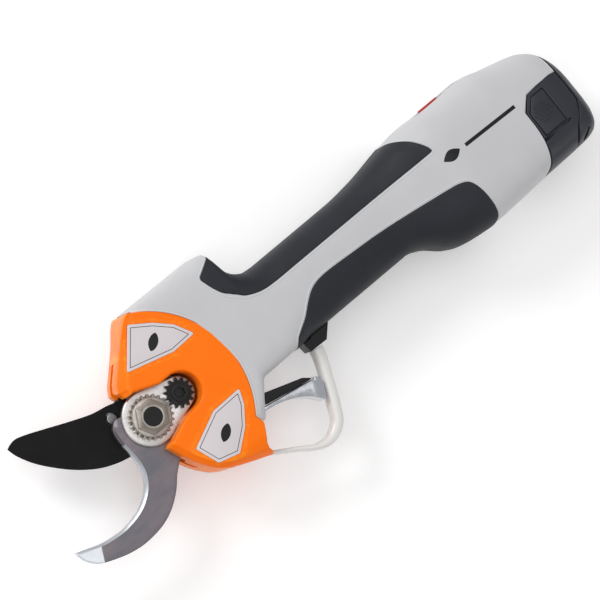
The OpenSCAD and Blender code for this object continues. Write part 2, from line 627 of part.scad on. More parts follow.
tooth_thick = PI * planet_module / 2 - 0.1;
module planet_wheel(bore) difference() {
    bar(62.2, 69.8) polygon(wheel_points(planet_teeth, planet_module, 0.4, 0.55, tooth_thick));
    shaft(bore, 60, 72);
}
module planet_carrier() color([0.5, 0.48, 0.45]) place() {
    difference() {
        shaft(10.4, gearbox_x + 0.6, gearbox_x + 4.6);
        shaft(4.01, gearbox_x - 1, gearbox_x + 2);
    }
    for (i = [0 : 2])
        rotate([120 * i, 0, 0]) translate([0, carrier_r, 0]) shaft(1.2, gearbox_x + 4, 71);
}
module planet_at(i) rotate([120 * i, 0, 0]) translate([0, carrier_r, 0]) planet_wheel(1.2 + run);
module planet_gear_1() color([0.7, 0.6, 0.35]) place() planet_at(0);
module planet_gear_2() color([0.7, 0.6, 0.35]) place() planet_at(1);
module planet_gear_3() color([0.7, 0.6, 0.35]) place() planet_at(2);
module ring_gear() color([0.45, 0.45, 0.47]) place() difference() {
    shaft(ring_r, gearbox_x, 73);
    bar(gearbox_x + 0.4, 74) polygon(wheel_points(3 * planet_teeth, planet_module, 0.55, 0.4,
        PI * planet_module / 2 + 0.1));
    shaft(9, gearbox_x - 1, gearbox_x + 1);
}
module gearbox_plate() color([0.6, 0.6, 0.62]) place() difference() {
    shaft(ring_r, 73.1, 77.5);
    shaft(4.5, 70, 80);
    for (i = [0 : 3])
        rotate([90 * i + 45, 0, 0]) translate([0, 9.5, 0]) shaft(1.3, 70, 80);
}
module sun_gear() color([0.55, 0.55, 0.57]) place() planet_wheel(shaft_r + 0.01);
shaft_r = 1.8;
module rotor_shaft() color("silver") place() shaft(shaft_r, 62, motor_x + motor_len + 1.5);
module rotor_core() color([0.25, 0.25, 0.27]) place() difference() {
    union() {
        shaft(7.4, motor_x + 9, motor_x + motor_len - 9);
        shaft(5, motor_x + 7, motor_x + motor_len - 7);
    }
    shaft(shaft_r + 0.01, 60, 140);
}
module motor_can() color([0.2, 0.2, 0.22]) place() difference() {
    shaft(motor_r, motor_x, motor_x + motor_len);
    shaft(motor_r - 1.2, motor_x + 2, motor_x + motor_len - 2);
    shaft(motor_bearing_r + 0.01, motor_x - 1, motor_x + motor_len + 1);
    for (i = [0 : 7])
        rotate([45 * i, 0, 0]) translate([0, 9.3, 0]) shaft(1.4, motor_x + motor_len - 3, 140);
}
motor_bearing_r = 5;
module motor_bearings() color("silver") place()
    for (x = [motor_x + 0.2, motor_x + motor_len - 4.2]) difference() {
        shaft(motor_bearing_r, x, x + 4);
        shaft(shaft_r + run, x - 1, x + 5);
    }
// Slot for one winding, as a curved strip between two radii
function strip(r0, r1, half) = concat(arc([0, 0], r0, -half, half, 6), arc([0, 0], r1, half, -half, 6));
module stator() color([0.5, 0.5, 0.53]) place()
    bar(motor_x + 10, motor_x + motor_len - 10) difference() {
        circle(motor_r - 1.25);
        circle(8);
        for (i = [0 : 5])
            rotate([0, 0, 60 * i]) polygon(strip(8.8, 11.4, 20));
    }
module windings() color([0.75, 0.4, 0.15]) place()
    for (i = [0 : 5])
        rotate([60 * i, 0, 0]) bar(motor_x + 6.5, motor_x + motor_len - 6.5)
            polygon(strip(9, 11.2, 18));

// ---- Electronics ---------------------------------------------------------------------------

module controller_board() color([0.05, 0.35, 0.2]) place() {
    box([128.5, -12, 5], [160, 11, 6.6]);
    box([131, -10, 6.6], [140, 10, 10]);
    for (y = [-6, 2.5])
        peg([149, y], 4, 6.5, 13.5);
    box([153, -11, -1], [159, 11, 5]);
    for (y = [-9 : 6 : 3])
        box([133, y, 2], [143, y + 4.5, 5]);
}
module hall_board() color([0.05, 0.35, 0.2]) place() {
    box([46.6, -14.9, -5], [56, -13.7, 5]);
    box([49.5, -15.3, -1.5], [52.5, -14.8, 1.5]);
}
module contact_block() color([0.13, 0.13, 0.15]) place() {
    box([162.2, -14, -9], [167.3, 6, 9]);
    for (y = [-11.6 : 5 : 4])
        box([160.4, y, -4], [162.3, y + 0.8, 4]);
}
module switch_panel() color([0.12, 0.12, 0.14]) place() difference() {
    box([switch_x[0] + 0.3, 24.3, -4.4], [switch_x[1] - 0.3, 26.6, 4.4]);
    box([184.9, 20, -3.6], [196.1, 30, 3.6]);
    box([199, 20, -2.1], [205, 30, 2.1]);
}
// The button stands out of the panel by its travel
module power_button() color([0.75, 0.12, 0.08]) place() translate([0, 24.9, 0]) rotate([-90, 0, 0])
    linear_extrude(1.7 + button_travel - 0.1) {
        for (x = [188.3, 192.7])
            translate([x, 0]) circle(3.3);
        translate([188.3, -3.3]) square([4.4, 6.6]);
    }
module led_lens() color([0.5, 0.8, 0.6]) place() box([199.1, 24.4, -2], [204.9, 26.9, 2]);

// ---- Fasteners -----------------------------------------------------------------------------

module screw(at, head_z, r, head_r, length) {
    difference() {
        peg(at, head_r, head_z, head_z + 2);
        peg(at, head_r * 0.45, head_z - 1, head_z + 1.2);
    }
    peg(at, r, head_z + 1.9, head_z + 2 + length);
}
module shell_screws() color([0.2, 0.2, 0.22]) place()
    for (s = shell_screw_at)
        screw(s, -8.05, 1.2, 2.8, 13);
module cover_screws() color([0.2, 0.2, 0.22]) place()
    for (s = cover_screw_at)
        screw(s, -12.05, 1, 2.2, 15);

// ---- Trigger -------------------------------------------------------------------------------

module trigger_lever() color([0.75, 0.77, 0.79]) place() difference() {
    union() {
        slab(-trigger_half, trigger_half) polygon(concat(
            [[43.4, -28.9], [39.4, -29.6], [38.9, -30.5], [43, -31.1]],
            arc([41.5, -64], 33, 82, 48, 6),
            [[65.2, -41.3], [67.5, -44.1], [71.7, -35.6], [71.2, -34.3], [69.7, -32.6],
            [68.9, -33.3], [59.7, -31.8]]));
        peg(hinge_at, 3, -trigger_half, trigger_half);
        slab(-trigger_half, trigger_half)
            polygon([[38.5, -28.5], [38.9, -30.5], [44, -30.4], [43.2, -25]]);
    }
    peg(hinge_at, hinge_r + run, -9, 9);
    peg(hinge_at, 3.7, -2.4, 2.4);
    for (z = [5, -7])
        slab(z, z + 2) polygon([[36, -29], [44.4, -29], [44.4, -22], [36, -22]]);
}
module trigger_insert() color([0.06, 0.06, 0.07]) place() difference() {
    slab(1 - trigger_half, trigger_half - 1)
        polygon([[47.2, -24], [44.7, -28.9], [59.7, -31.6], [68.6, -33.1], [69.1, -32],
            [64.7, -29.8]]);
    peg([49, -27], 1.51, -9, 9);
}
module trigger_magnet() color("silver") place() peg([49, -27], 1.5, -3, 3);
module trigger_pin() color("silver") place() peg(hinge_at, hinge_r, -11, 11);
module trigger_spring() color([0.35, 0.35, 0.37]) place() {
    for (k = [-2 : 2])
        translate([hinge_at[0], hinge_at[1], 0.9 * k]) rotate_extrude()
            translate([2.3, 0]) circle(0.4);
}

// ---- Battery pack --------------------------------------------------------------------------

// Rounded rectangle in YZ between two corners
module round_box(low, high, r) {
    a = low + [r, r];
    b = high - [r, r];
    polygon(concat(arc(b, r, 0, 90, 5), arc([a[0], b[1]], r, 90, 180, 5), arc(a, r, 180, 270, 5),
        arc([b[0], a[1]], r, 270, 360, 5)));
}
// The part of the pack that shows below and behind the grey shells, flush with their skin
skirt_x = [212.2, 213.9, 215, 215.4, 218.5, 221.5, 228, 234, skirt_end];
function skirt_line(x, side) =
    let (a = steps(-90, phi_y(x, curve(step_edge, x - 0.6) - 1.7), 8))
    [for (i = [0 : 8]) let (q = skin(x, a[side < 0 ? i : 8 - i], 0.05)) [q[0], q[1], side * q[2]]];
function skirt_ring(x) =
    concat([for (i = [1 : 8]) skirt_line(x, -1)[i]], [for (i = [0 : 7]) skirt_line(x, 1)[i]]);
module skirt() stack([for (x = skirt_x) skirt_ring(x)]);
// Latch button: it follows the step in the shell, and the recess behind it leaves its travel
latch_shape = [[216.4, -16.2], [228.7, -16.2], [228.7, 1.7], [222, 1.7], [216.4, -4.1]];
latch_floor = pack_z + 0.7;
module battery_shell() color([0.19, 0.2, 0.23]) place() difference() {
    union() {
        bar(pack_x[0], pack_x[1]) round_box([pack_y[0], -pack_z], [pack_y[1], pack_z], 9.5);
        skirt();
    }
    bar(pack_x[0] + 1.4, skirt_end - 1.6)
        round_box([pack_y[0] + 0.8, 1.6 - pack_z], [pack_y[1] - 0.8, pack_z - 1.6], 8);
    for (s = [0, 1])
        mirror([0, 0, s]) slab(latch_floor, pack_half + 1) offset(delta = 0.15) polygon(latch_shape);
}
function cap_ring(x) =
    let (a = steps(-90, 90, 14))
    concat([for (p = a) let (q = skin(x, p, 0.05)) [x, q[1], -q[2]]],
        [for (i = [13 : -1 : 1]) skin(x, a[i], 0.05)]);
module battery_end_cap() color([0.16, 0.17, 0.2]) place()
    stack([for (x = [shell_end + 0.3, 240, 241.5, 242.8, 243.6, tool_end]) cap_ring(x)]);
module battery_cells() color([0.2, 0.45, 0.6]) place()
    for (y = [-1, 1], z = [-1, 1])
        translate([0, pack_mid + 9.25 * y, 9.25 * z]) {
            shaft(cell_r, pack_x[0] + 3.3, pack_x[0] + 2.3 + cell_len);
            shaft(3, pack_x[0] + 2.2 + cell_len, pack_x[0] + 3.3 + cell_len);
        }
module bms_board() color([0.05, 0.35, 0.2]) place() {
    box([169.9, -21, -14], [171.1, 7.5, 14]);
    box([169.7, -11, -3], [170, -3, 3]);
}
module latch_button() {
    slab(latch_floor + latch_travel + 0.1, pack_half - 0.7) polygon(latch_shape);
    for (q = [[220.6, -7.6], [218, -5.5], [218, -11], [223.6, -4.4], [223.6, -10.6]])
        peg(q, 0.7, pack_half - 1.2, pack_half - 0.2);
}
module right_latch() color([0.15, 0.16, 0.19]) place() latch_button();
module left_latch() color([0.15, 0.16, 0.19]) place() left_side() latch_button();

right_shell();
left_shell();
right_upper_grip();
left_upper_grip();
right_lower_grip();
left_lower_grip();
right_head_cover();
left_head_cover();
right_labels();
left_labels();
trigger_guard();
guard_bracket();
anvil_blade();
anvil_screws();
gear_case();
pivot_bolt();
thrust_washer();
pivot_plate();
pivot_nut();
lock_gear();
output_bearings();
ring_gear();
gearbox_plate();
motor_can();
stator();
windings();
motor_bearings();
controller_board();
hall_board();
contact_block();
switch_panel();
led_lens();
shell_screws();
cover_screws();
trigger_pin();
trigger_spring();
moving_blade();
sector_gear();
blade_drive_pin();
blade_screws();
pivot_bushing();
bevel_pinion();
planet_carrier();
planet_gear_1();
planet_gear_2();
planet_gear_3();
sun_gear();
rotor_shaft();
rotor_core();
trigger_lever();
trigger_insert();
trigger_magnet();
power_button();
battery_shell();
battery_end_cap();
battery_cells();
bms_board();
right_latch();
left_latch();
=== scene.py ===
import json
import math

import bmesh
import bpy
import numpy as np
from mathutils import Matrix, Vector
from mathutils.geometry import delaunay_2d_cdt


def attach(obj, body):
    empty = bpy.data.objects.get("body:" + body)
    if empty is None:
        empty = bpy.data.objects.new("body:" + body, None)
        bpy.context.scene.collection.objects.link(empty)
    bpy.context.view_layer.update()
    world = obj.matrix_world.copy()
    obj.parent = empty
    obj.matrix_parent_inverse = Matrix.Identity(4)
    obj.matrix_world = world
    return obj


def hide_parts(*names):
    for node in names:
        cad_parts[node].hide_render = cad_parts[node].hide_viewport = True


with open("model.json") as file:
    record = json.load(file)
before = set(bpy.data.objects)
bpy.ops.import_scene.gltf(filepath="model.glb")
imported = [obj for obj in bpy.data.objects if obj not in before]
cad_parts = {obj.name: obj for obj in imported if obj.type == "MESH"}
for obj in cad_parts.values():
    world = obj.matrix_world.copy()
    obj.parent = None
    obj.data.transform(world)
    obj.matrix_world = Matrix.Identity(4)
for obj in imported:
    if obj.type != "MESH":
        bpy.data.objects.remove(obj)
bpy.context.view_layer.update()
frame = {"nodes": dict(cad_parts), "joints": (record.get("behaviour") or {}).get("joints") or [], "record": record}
nodes = frame["nodes"]
record = frame["record"]

# Shapes are drawn in millimetres about the blade pivot: +X runs down the handle, +Y is the thumb
# side and +Z is the pivot's axis. One half of the tool is drawn, and the other is its mirror in Z.
MM = 0.001
PIVOT = np.array(next(j for j in frame["joints"] if j["name"] == "blade_close")["pos_m"])


def at(points):
    return np.atleast_2d(np.asarray(points, float)) * MM + PIVOT


# ---- Curves and outlines ----


class Curve:
    """Smooth monotone curve through knots (x, value)."""

    def __init__(self, knots):
        self.x, self.y = np.array(knots, float).T
        slope = np.diff(self.y) / np.diff(self.x)
        product, total = slope[:-1] * slope[1:], slope[:-1] + slope[1:]
        inner = np.where(product > 0, 2 * product / np.where(total == 0, 1, total), 0)
        self.m = np.concatenate([[slope[0]], inner, [slope[-1]]])

    def __call__(self, x):
        x = np.clip(np.asarray(x, float), self.x[0], self.x[-1])
        i = np.clip(np.searchsorted(self.x, x, "right") - 1, 0, len(self.x) - 2)
        w = self.x[i + 1] - self.x[i]
        t = (x - self.x[i]) / w
        return (
            (2 * t**3 - 3 * t**2 + 1) * self.y[i]
            + (t**3 - 2 * t**2 + t) * w * self.m[i]
            + (3 * t**2 - 2 * t**3) * self.y[i + 1]
            + (t**3 - t**2) * w * self.m[i + 1]
        )


def arc(centre, r, start, end, n):
    """Points in n steps along a circle between two angles in degrees."""
    a = np.radians(np.linspace(start, end, n + 1))
    return [(centre[0] + r * math.cos(v), centre[1] + r * math.sin(v)) for v in a]


def smooth(points, n):
    """Catmull-Rom line through points, n steps to each."""
    p = np.array(points, float)
    line = []
    for i in range(len(p) - 1):
        a, b, c, d = p[max(i - 1, 0)], p[i], p[i + 1], p[min(i + 2, len(p) - 1)]
        square, cube = 2 * a - 5 * b + 4 * c - d, 3 * b - a - 3 * c + d
        for t in np.arange(n) / n:
            line.append(0.5 * (2 * b + (c - a) * t + square * t**2 + cube * t**3))
    return line + [p[-1]]


def dense(points, step, closed=True):
    """The same outline with no side longer than step."""
    p = [np.array(q, float) for q in points]
    out = []
    for a, b in zip(p, p[1:] + p[:1] if closed else p[1:]):
        n = max(1, int(math.ceil(np.linalg.norm(b - a) / step)))
        out += [a + (b - a) * i / n for i in range(n)]
    return np.array(out if closed else out + [p[-1]])


def round_corners(points, radius, n):
    """Outline with every corner rounded in n steps."""
    p = [np.array(q, float) for q in points]
    out = []
    for i, b in enumerate(p):
        a, c = p[i - 1], p[(i + 1) % len(p)]
        u, v = (a - b) / np.linalg.norm(a - b), (c - b) / np.linalg.norm(c - b)
        half = math.acos(np.clip(np.dot(u, v), -1, 1)) / 2
        cut = min(radius / math.tan(half), 0.45 * np.linalg.norm(a - b), 0.45 * np.linalg.norm(c - b))
        for t in np.linspace(0, 1, n + 1):
            out.append((1 - t) ** 2 * (b + u * cut) + 2 * t * (1 - t) * b + t**2 * (b + v * cut))
    return np.array(out)


def normals(outline):
    """Inward mitred normals of a closed counter-clockwise outline."""
    d = np.roll(outline, -1, 0) - outline
    d /= np.linalg.norm(d, axis=1, keepdims=True)
    n = np.c_[-d[:, 1], d[:, 0]]
    m = n + np.roll(n, 1, 0)
    return m / np.maximum((m * n).sum(1, keepdims=True), 0.5)


def counter_clockwise(outline):
    o = np.asarray(outline, float)
    area = np.sum(o[:, 0] * np.roll(o[:, 1], -1) - np.roll(o[:, 0], -1) * o[:, 1])
    return o if area > 0 else o[::-1]


def left_of(line):
    """Unit normals on the left of an open line."""
    along = np.gradient(np.array(line), axis=0)
    along /= np.linalg.norm(along, axis=1, keepdims=True)
    return np.c_[-along[:, 1], along[:, 0]]


def offset_line(line, d):
    """Open line moved this far to its left."""
    return np.array(line) + left_of(line) * d


def inside(outline, points):
    """Whether each point is inside a closed outline."""
    x, y = points[:, 0][:, None], points[:, 1][:, None]
    a, b = outline, np.roll(outline, -1, 0)
    crosses = (a[:, 1] > y) != (b[:, 1] > y)
    slope = np.where(b[:, 1] == a[:, 1], 1, b[:, 1] - a[:, 1])
    return (crosses & (x < (b[:, 0] - a[:, 0]) * (y - a[:, 1]) / slope + a[:, 0])).sum(1) % 2 == 1


def distance(line, points, closed=True):
    """Distance from each point to a line of straight pieces."""
    a = line if closed else line[:-1]
    b = np.roll(line, -1, 0) if closed else line[1:]
    d = b - a
    ap = points[:, None, :] - a
    t = np.clip((ap * d).sum(2) / np.maximum((d * d).sum(1), 1e-12), 0, 1)
    return np.linalg.norm(ap - t[..., None] * d, axis=2).min(1)


def triangles(loops, extra=()):
    """Triangles between closed loops of points: the first is the outside, the rest are holes."""
    points = np.concatenate(list(loops) + [np.asarray(e) for e in extra])
    edges, start = [], 0
    for loop in loops:
        edges += [(start + i, start + (i + 1) % len(loop)) for i in range(len(loop))]
        start += len(loop)
    verts, _, faces, source, _, _ = delaunay_2d_cdt([Vector(p) for p in points], edges, [], 0, 1e-6)
    # Where two sides cross there is a new point
    added = [i for i, s in enumerate(source) if not s]
    where = [s[0] if s else len(points) + added.index(i) for i, s in enumerate(source)]
    points = np.concatenate([points, np.array([verts[i][:] for i in added]).reshape(-1, 2)])
    tri = np.array([[where[i] for i in f] for f in faces])
    centre = points[tri].mean(1)
    u, v = points[tri[:, 1]] - points[tri[:, 0]], points[tri[:, 2]] - points[tri[:, 0]]
    # A triangle on three points of one straight side has no area and is left out
    keep = inside(loops[0], centre) & (np.abs(u[:, 0] * v[:, 1] - u[:, 1] * v[:, 0]) > 1e-7)
    for hole in loops[1:]:
        keep &= ~inside(hole, centre)
    return points, tri[keep]


# ---- Mesh objects ----


def sided(side, name):
    return ("right_" if side > 0 else "left_") + name


def mirrored(points, faces):
    """The same shape mirrored in Z."""
    return np.asarray(points) * [1, 1, -1], [tuple(reversed(f)) for f in faces]


def mesh_object(name, points, faces, slot, body="housing", stands_for=(), angle=32, flip=False):
    """Piece of this material slot that rides on a body, mirrored in Z where flip is set."""
    if flip:
        points, faces = mirrored(points, faces)
    obj = plain_object(name, points, faces, angle)
    obj.data.materials.append(material(slot))
    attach(obj, body)
    if stands_for:
        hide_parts(*stands_for)
    return obj


def plain_object(name, points, faces, angle):
    """Object with coinciding points joined, faces turned outwards and sharp edges over the angle."""
    mesh = bpy.data.meshes.new(name)
    mesh.from_pydata([tuple(p) for p in at(points)], [], [tuple(int(i) for i in f) for f in faces])
    mesh.validate()
    obj = bpy.data.objects.new(name, mesh)
    bpy.context.scene.collection.objects.link(obj)
    tidy = bmesh.new()
    tidy.from_mesh(obj.data)
    bmesh.ops.remove_doubles(tidy, verts=tidy.verts, dist=1e-6)
    bmesh.ops.dissolve_degenerate(tidy, dist=1e-7, edges=tidy.edges)
    bmesh.ops.recalc_face_normals(tidy, faces=tidy.faces)
    tidy.to_mesh(obj.data)
    tidy.free()
    obj.data.shade_smooth()
    obj.data.set_sharp_from_angle(angle=math.radians(angle))
    return obj


def grid_faces(rows, cols, start=0, wrap=False):
    """Faces of a grid of points, which closes on itself where wrap is set."""
    faces = []
    for i in range(rows - 1):
        this, after = start + i * cols, start + (i + 1) * cols
        for j in range(cols if wrap else cols - 1):
            k = (j + 1) % cols
            faces.append((this + j, after + j, after + k, this + k))
    return faces


def tube_faces(rows, cols):
    """Faces of a closed tube made of rings of points, with an end face on each end."""
    ends = [tuple(range(cols))[::-1], tuple(range((rows - 1) * cols, rows * cols))]
    return grid_faces(rows, cols, wrap=True) + ends


def slab_mesh(outer, inner):
    """Closed sheet between two grids of points."""
    rows, cols = outer.shape[:2]
    n = rows * cols
    points = np.concatenate([outer.reshape(-1, 3), inner.reshape(-1, 3)])
    faces = grid_faces(rows, cols)
    faces += [tuple(reversed(f)) for f in grid_faces(rows, cols, n)]
    edge = list(range(cols)) + [i * cols + cols - 1 for i in range(1, rows)]
    edge += [(rows - 1) * cols + j for j in range(cols - 2, -1, -1)]
    edge += [i * cols for i in range(rows - 2, 0, -1)]
    faces += [(a, b, b + n, a + n) for a, b in zip(edge, edge[1:] + edge[:1])]
    return points, faces


def edge_rounding(r, z, up):
    """Layers (inset, height) of a quarter-round edge that ends at z, going up or down."""
    a = np.radians(np.linspace(0, 90, 5))
    return [(r * (1 - math.cos(v)), z - (r * (1 - math.sin(v))) * up) for v in a]


def prism(outline, z0, z1, top=0.3, bottom=0.3, holes=(), hole_share=1):
    """Closed solid with rounded edges at top and bottom; holes are rounded by a share of that."""
    loops = [counter_clockwise(outline)] + [counter_clockwise(h)[::-1] for h in holes]
    layers = [(i, z) for i, z in reversed(edge_rounding(bottom, z0, -1))] if bottom else [(0, z0)]
    layers += edge_rounding(top, z1, 1) if top else [(0, z1)]
    rings = []
    for k, loop in enumerate(loops):
        share = hole_share if k else 1
        rings.append([loop + normals(loop) * inset * share for inset, _ in layers])
    points, faces = [], []
    for ring in rings:
        start = sum(len(p) for p in points)
        m = len(ring[0])
        points += [np.c_[q, np.full(m, layers[i][1])] for i, q in enumerate(ring)]
        faces += [tuple(reversed(f)) for f in grid_faces(len(layers), m, start, wrap=True)]
    for layer, turn in ((0, True), (len(layers) - 1, False)):
        start = sum(len(p) for p in points)
        flat, tri = triangles([ring[layer] for ring in rings])
        points.append(np.c_[flat, np.full(len(flat), layers[layer][1])])
        faces += [tuple(start + i for i in (reversed(t) if turn else t)) for t in tri]
    return np.concatenate(points), faces


def merged(*parts):
    """Several (points, faces) pairs as one."""
    points, faces = [], []
    for p, f in parts:
        start = sum(len(q) for q in points)
        points.append(np.asarray(p, float))
        faces += [tuple(start + i for i in face) for face in f]
    return np.concatenate(points), faces


def relief(outline, top, base, rings, spacing, creases=(), holes=()):
    """Closed solid over an outline; top and base give heights from (x, y, distance to the edge)."""
    outline = counter_clockwise(outline)
    loops = [outline] + [counter_clockwise(h)[::-1] for h in holes]
    n = normals(outline)
    extra = []
    for d in rings:
        ring = outline + n * d
        extra.append(ring[(distance(outline, ring) > 0.93 * d) & inside(outline, ring)])
    for line in creases:
        line = np.asarray(line)
        extra.append(line[inside(outline, line) & (distance(outline, line) > 0.15)])
    columns, lines = (np.arange(a, b, spacing) for a, b in zip(outline.min(0), outline.max(0)))
    grid = np.stack(np.meshgrid(columns, lines), -1).reshape(-1, 2)
    grid = grid[inside(outline, grid)]
    taken = np.concatenate([outline] + extra)
    apart = np.array([np.min(((taken - g) ** 2).sum(1)) for g in grid])
    extra.append(grid[apart > (0.55 * spacing) ** 2])
    for hole in loops[1:]:
        extra = [e[~inside(hole, e) & (distance(hole, e) > 0.2)] for e in extra]
    flat, tri = triangles(loops, extra)
    reach = distance(outline, flat)
    upper = np.c_[flat, top(flat[:, 0], flat[:, 1], reach)]
    lower = np.c_[flat, base(flat[:, 0], flat[:, 1], reach)]
    faces = [tuple(t) for t in tri] + [tuple(reversed(t + len(flat))) for t in tri]
    start, under = 0, len(flat)
    for loop in loops:
        for i in range(len(loop)):
            a, b = start + i, start + (i + 1) % len(loop)
            faces.append((a, a + under, b + under, b))
        start += len(loop)
    return np.concatenate([upper, lower]), faces


def cut(obj, *cutters):
    """Subtracts closed (points, faces) shapes from an object, for good."""
    tool = plain_object("cutter", *merged(*cutters), 30)
    change = obj.modifiers.new("cut", "BOOLEAN")
    change.object = tool
    change.operation = "DIFFERENCE"
    change.solver = "EXACT"
    bpy.context.view_layer.update()
    result = bpy.data.meshes.new_from_object(obj.evaluated_get(bpy.context.evaluated_depsgraph_get()))
    obj.modifiers.clear()
    obj.data = result
    bpy.data.objects.remove(tool)


# ---- Materials ----


def linear(rgb):
    """Colour for a node, from a colour given as 0 to 255 in sRGB."""
    return [(v / 255 / 12.92) if v <= 10 else ((v / 255 + 0.055) / 1.055) ** 2.4 for v in rgb] + [1]


class Nodes:
    """Short way to write a node tree."""

    def __init__(self, name):
        self.material = bpy.data.materials.new(name)
        self.material.use_nodes = True
        self.tree = self.material.node_tree
        self.tree.nodes.clear()
        self.shader = self.add("ShaderNodeBsdfPrincipled")
        out = self.add("ShaderNodeOutputMaterial")
        self.link(self.shader, "BSDF", out, "Surface")
        self.place = self.add("ShaderNodeTexCoord")

    def add(self, kind, **settings):
        node = self.tree.nodes.new(kind)
        for key, value in settings.items():
            if key in node.inputs:
                node.inputs[key].default_value = value
            else:
                setattr(node, key, value)
        return node

    def link(self, a, out, b, into):
        self.tree.links.new(a.outputs[out], b.inputs[into])

    def noise(self, scale, detail, stretch=(1, 1, 1), turn=0):
        """Noise with features about 1/scale metres across, stretched along the axes."""
        mapping = self.add("ShaderNodeMapping", Scale=stretch, Rotation=(0, 0, math.radians(turn)))
        self.link(self.place, "Object", mapping, "Vector")
        texture = self.add("ShaderNodeTexNoise", Scale=scale, Detail=detail, Roughness=0.6)
        self.link(mapping, "Vector", texture, "Vector")
        return texture

    def ramp(self, source, low, high, low_value=0, high_value=1, out="Fac"):
        """Turns the source's range from low to high into low_value to high_value."""
        limits = {"From Min": low, "From Max": high, "To Min": low_value, "To Max": high_value}
        node = self.add("ShaderNodeMapRange", **limits)
        self.link(source, out, node, "Value")
        return node

    def mix(self, factor, a, b):
        """Colour between a and b, each a list or another mix."""
        node = self.add("ShaderNodeMix", data_type="RGBA")
        for value, socket in ((a, 6), (b, 7)):
            if isinstance(value, list):
                node.inputs[socket].default_value = value
            else:
                self.tree.links.new(value.outputs[2], node.inputs[socket])
        self.link(factor, "Result", node, "Factor")
        return node

    def colour(self, node):
        self.tree.links.new(node.outputs[2], self.shader.inputs["Base Color"])

    def roughness(self, source, low, high):
        self.link(self.ramp(source, 0.3, 0.7, low, high), "Result", self.shader, "Roughness")

    def bump(self, source, depth_mm):
        node = self.add("ShaderNodeBump", Strength=1.0, Distance=depth_mm * MM)
        self.link(source, "Fac", node, "Height")
        self.link(node, "Normal", self.shader, "Normal")

    # Mask of the sharp edges from pointiness; the colours mixed in with it paint edge highlights as well as wear
    def edge_wear_and_highlight(self, low=0.52, high=0.58):
        shape = self.add("ShaderNodeNewGeometry")
        return self.ramp(shape, low, high, out="Pointiness")

    def set(self, setting, value):
        self.shader.inputs[setting].default_value = value


def moulded(name, rgb, rough=0.5, grain=2600, depth=0.012, specular=0.4, blotch=0.03, edge=None, coat=0.0):
    """Injection-moulded plastic with a fine eroded texture."""
    m = Nodes(name)
    base = linear(rgb)
    soft = m.noise(38, 4)
    dark = [v * (1 - blotch) for v in base[:3]] + [1]
    light = [min(1, v * (1 + blotch)) for v in base[:3]] + [1]
    tone = m.mix(m.ramp(soft, 0.35, 0.65), dark, light)
    # Lighter colour on the sharp edges: a painted highlight where the rounded edges catch the light
    if edge:
        tone = m.mix(m.edge_wear_and_highlight(), tone, linear(edge))
    m.colour(tone)
    fine = m.noise(grain, 2)
    m.roughness(m.noise(120, 3), rough - 0.05, rough + 0.05)
    m.bump(fine, depth)
    m.set("Specular IOR Level", specular)
    m.set("Coat Weight", coat)
    m.set("Coat Roughness", 0.2)
    return m.material


def steel(name, rgb, second, rough=0.3, stretch=(12, 1, 1), turn=0, scale=220, depth=0.004, edge=None):
    """Ground or brushed steel: fine lines along one direction, faint colour, bright edges painted as highlight and
    wear.
    """
    m = Nodes(name)
    lines = m.noise(scale, 5, stretch, turn)
    stain = m.noise(55, 4, (1, 2.2, 1), turn)
    tone = m.mix(m.ramp(stain, 0.35, 0.68), linear(rgb), linear(second))
    # Lighter edge colour: painted highlight on the sharp edges, partly also wear and polish
    if edge:
        tone = m.mix(m.edge_wear_and_highlight(0.51, 0.56), tone, linear(edge))
    m.colour(tone)
    m.set("Metallic", 1.0)
    m.roughness(lines, rough - 0.07, rough + 0.1)
    m.bump(lines, depth)
    return m.material


def coated(name):
    """Black low-friction coating with a soft sheen and faint rubbed streaks."""
    m = Nodes(name)
    streaks = m.noise(420, 5, (1, 9, 1), 28)
    patch = m.noise(60, 4)
    tone = m.mix(m.ramp(patch, 0.4, 0.7), linear((7, 7, 8)), linear((17, 17, 19)))
    # Lighter grey mixed in on the sharp edges by the edge mask
    m.colour(m.mix(m.edge_wear_and_highlight(0.56, 0.66), tone, linear((70, 71, 75))))
    m.set("Specular IOR Level", 0.16)
    m.roughness(streaks, 0.36, 0.56)
    m.bump(streaks, 0.006)
    return m.material


def windings_copper(name):
    """Enamelled wire: fine rings round the motor's axis."""
    m = Nodes(name)
    rings = m.add("ShaderNodeTexWave", wave_type="BANDS", bands_direction="Y", Scale=600.0, Distortion=0.6)
    m.link(m.place, "Object", rings, "Vector")
    m.colour(m.mix(m.ramp(rings, 0.2, 0.8), linear((95, 40, 18)), linear((196, 98, 48))))
    m.set("Metallic", 0.9)
    m.set("Roughness", 0.35)
    m.bump(rings, 0.05)
    return m.material


def lens(name):
    """Milky clear light guide."""
    m = Nodes(name)
    cloud = m.ramp(m.noise(300, 2), 0.3, 0.7)
    m.colour(m.mix(cloud, linear((205, 240, 225)), linear((228, 250, 240))))
    m.set("Transmission Weight", 0.6)
    m.set("Roughness", 0.25)
    return m.material


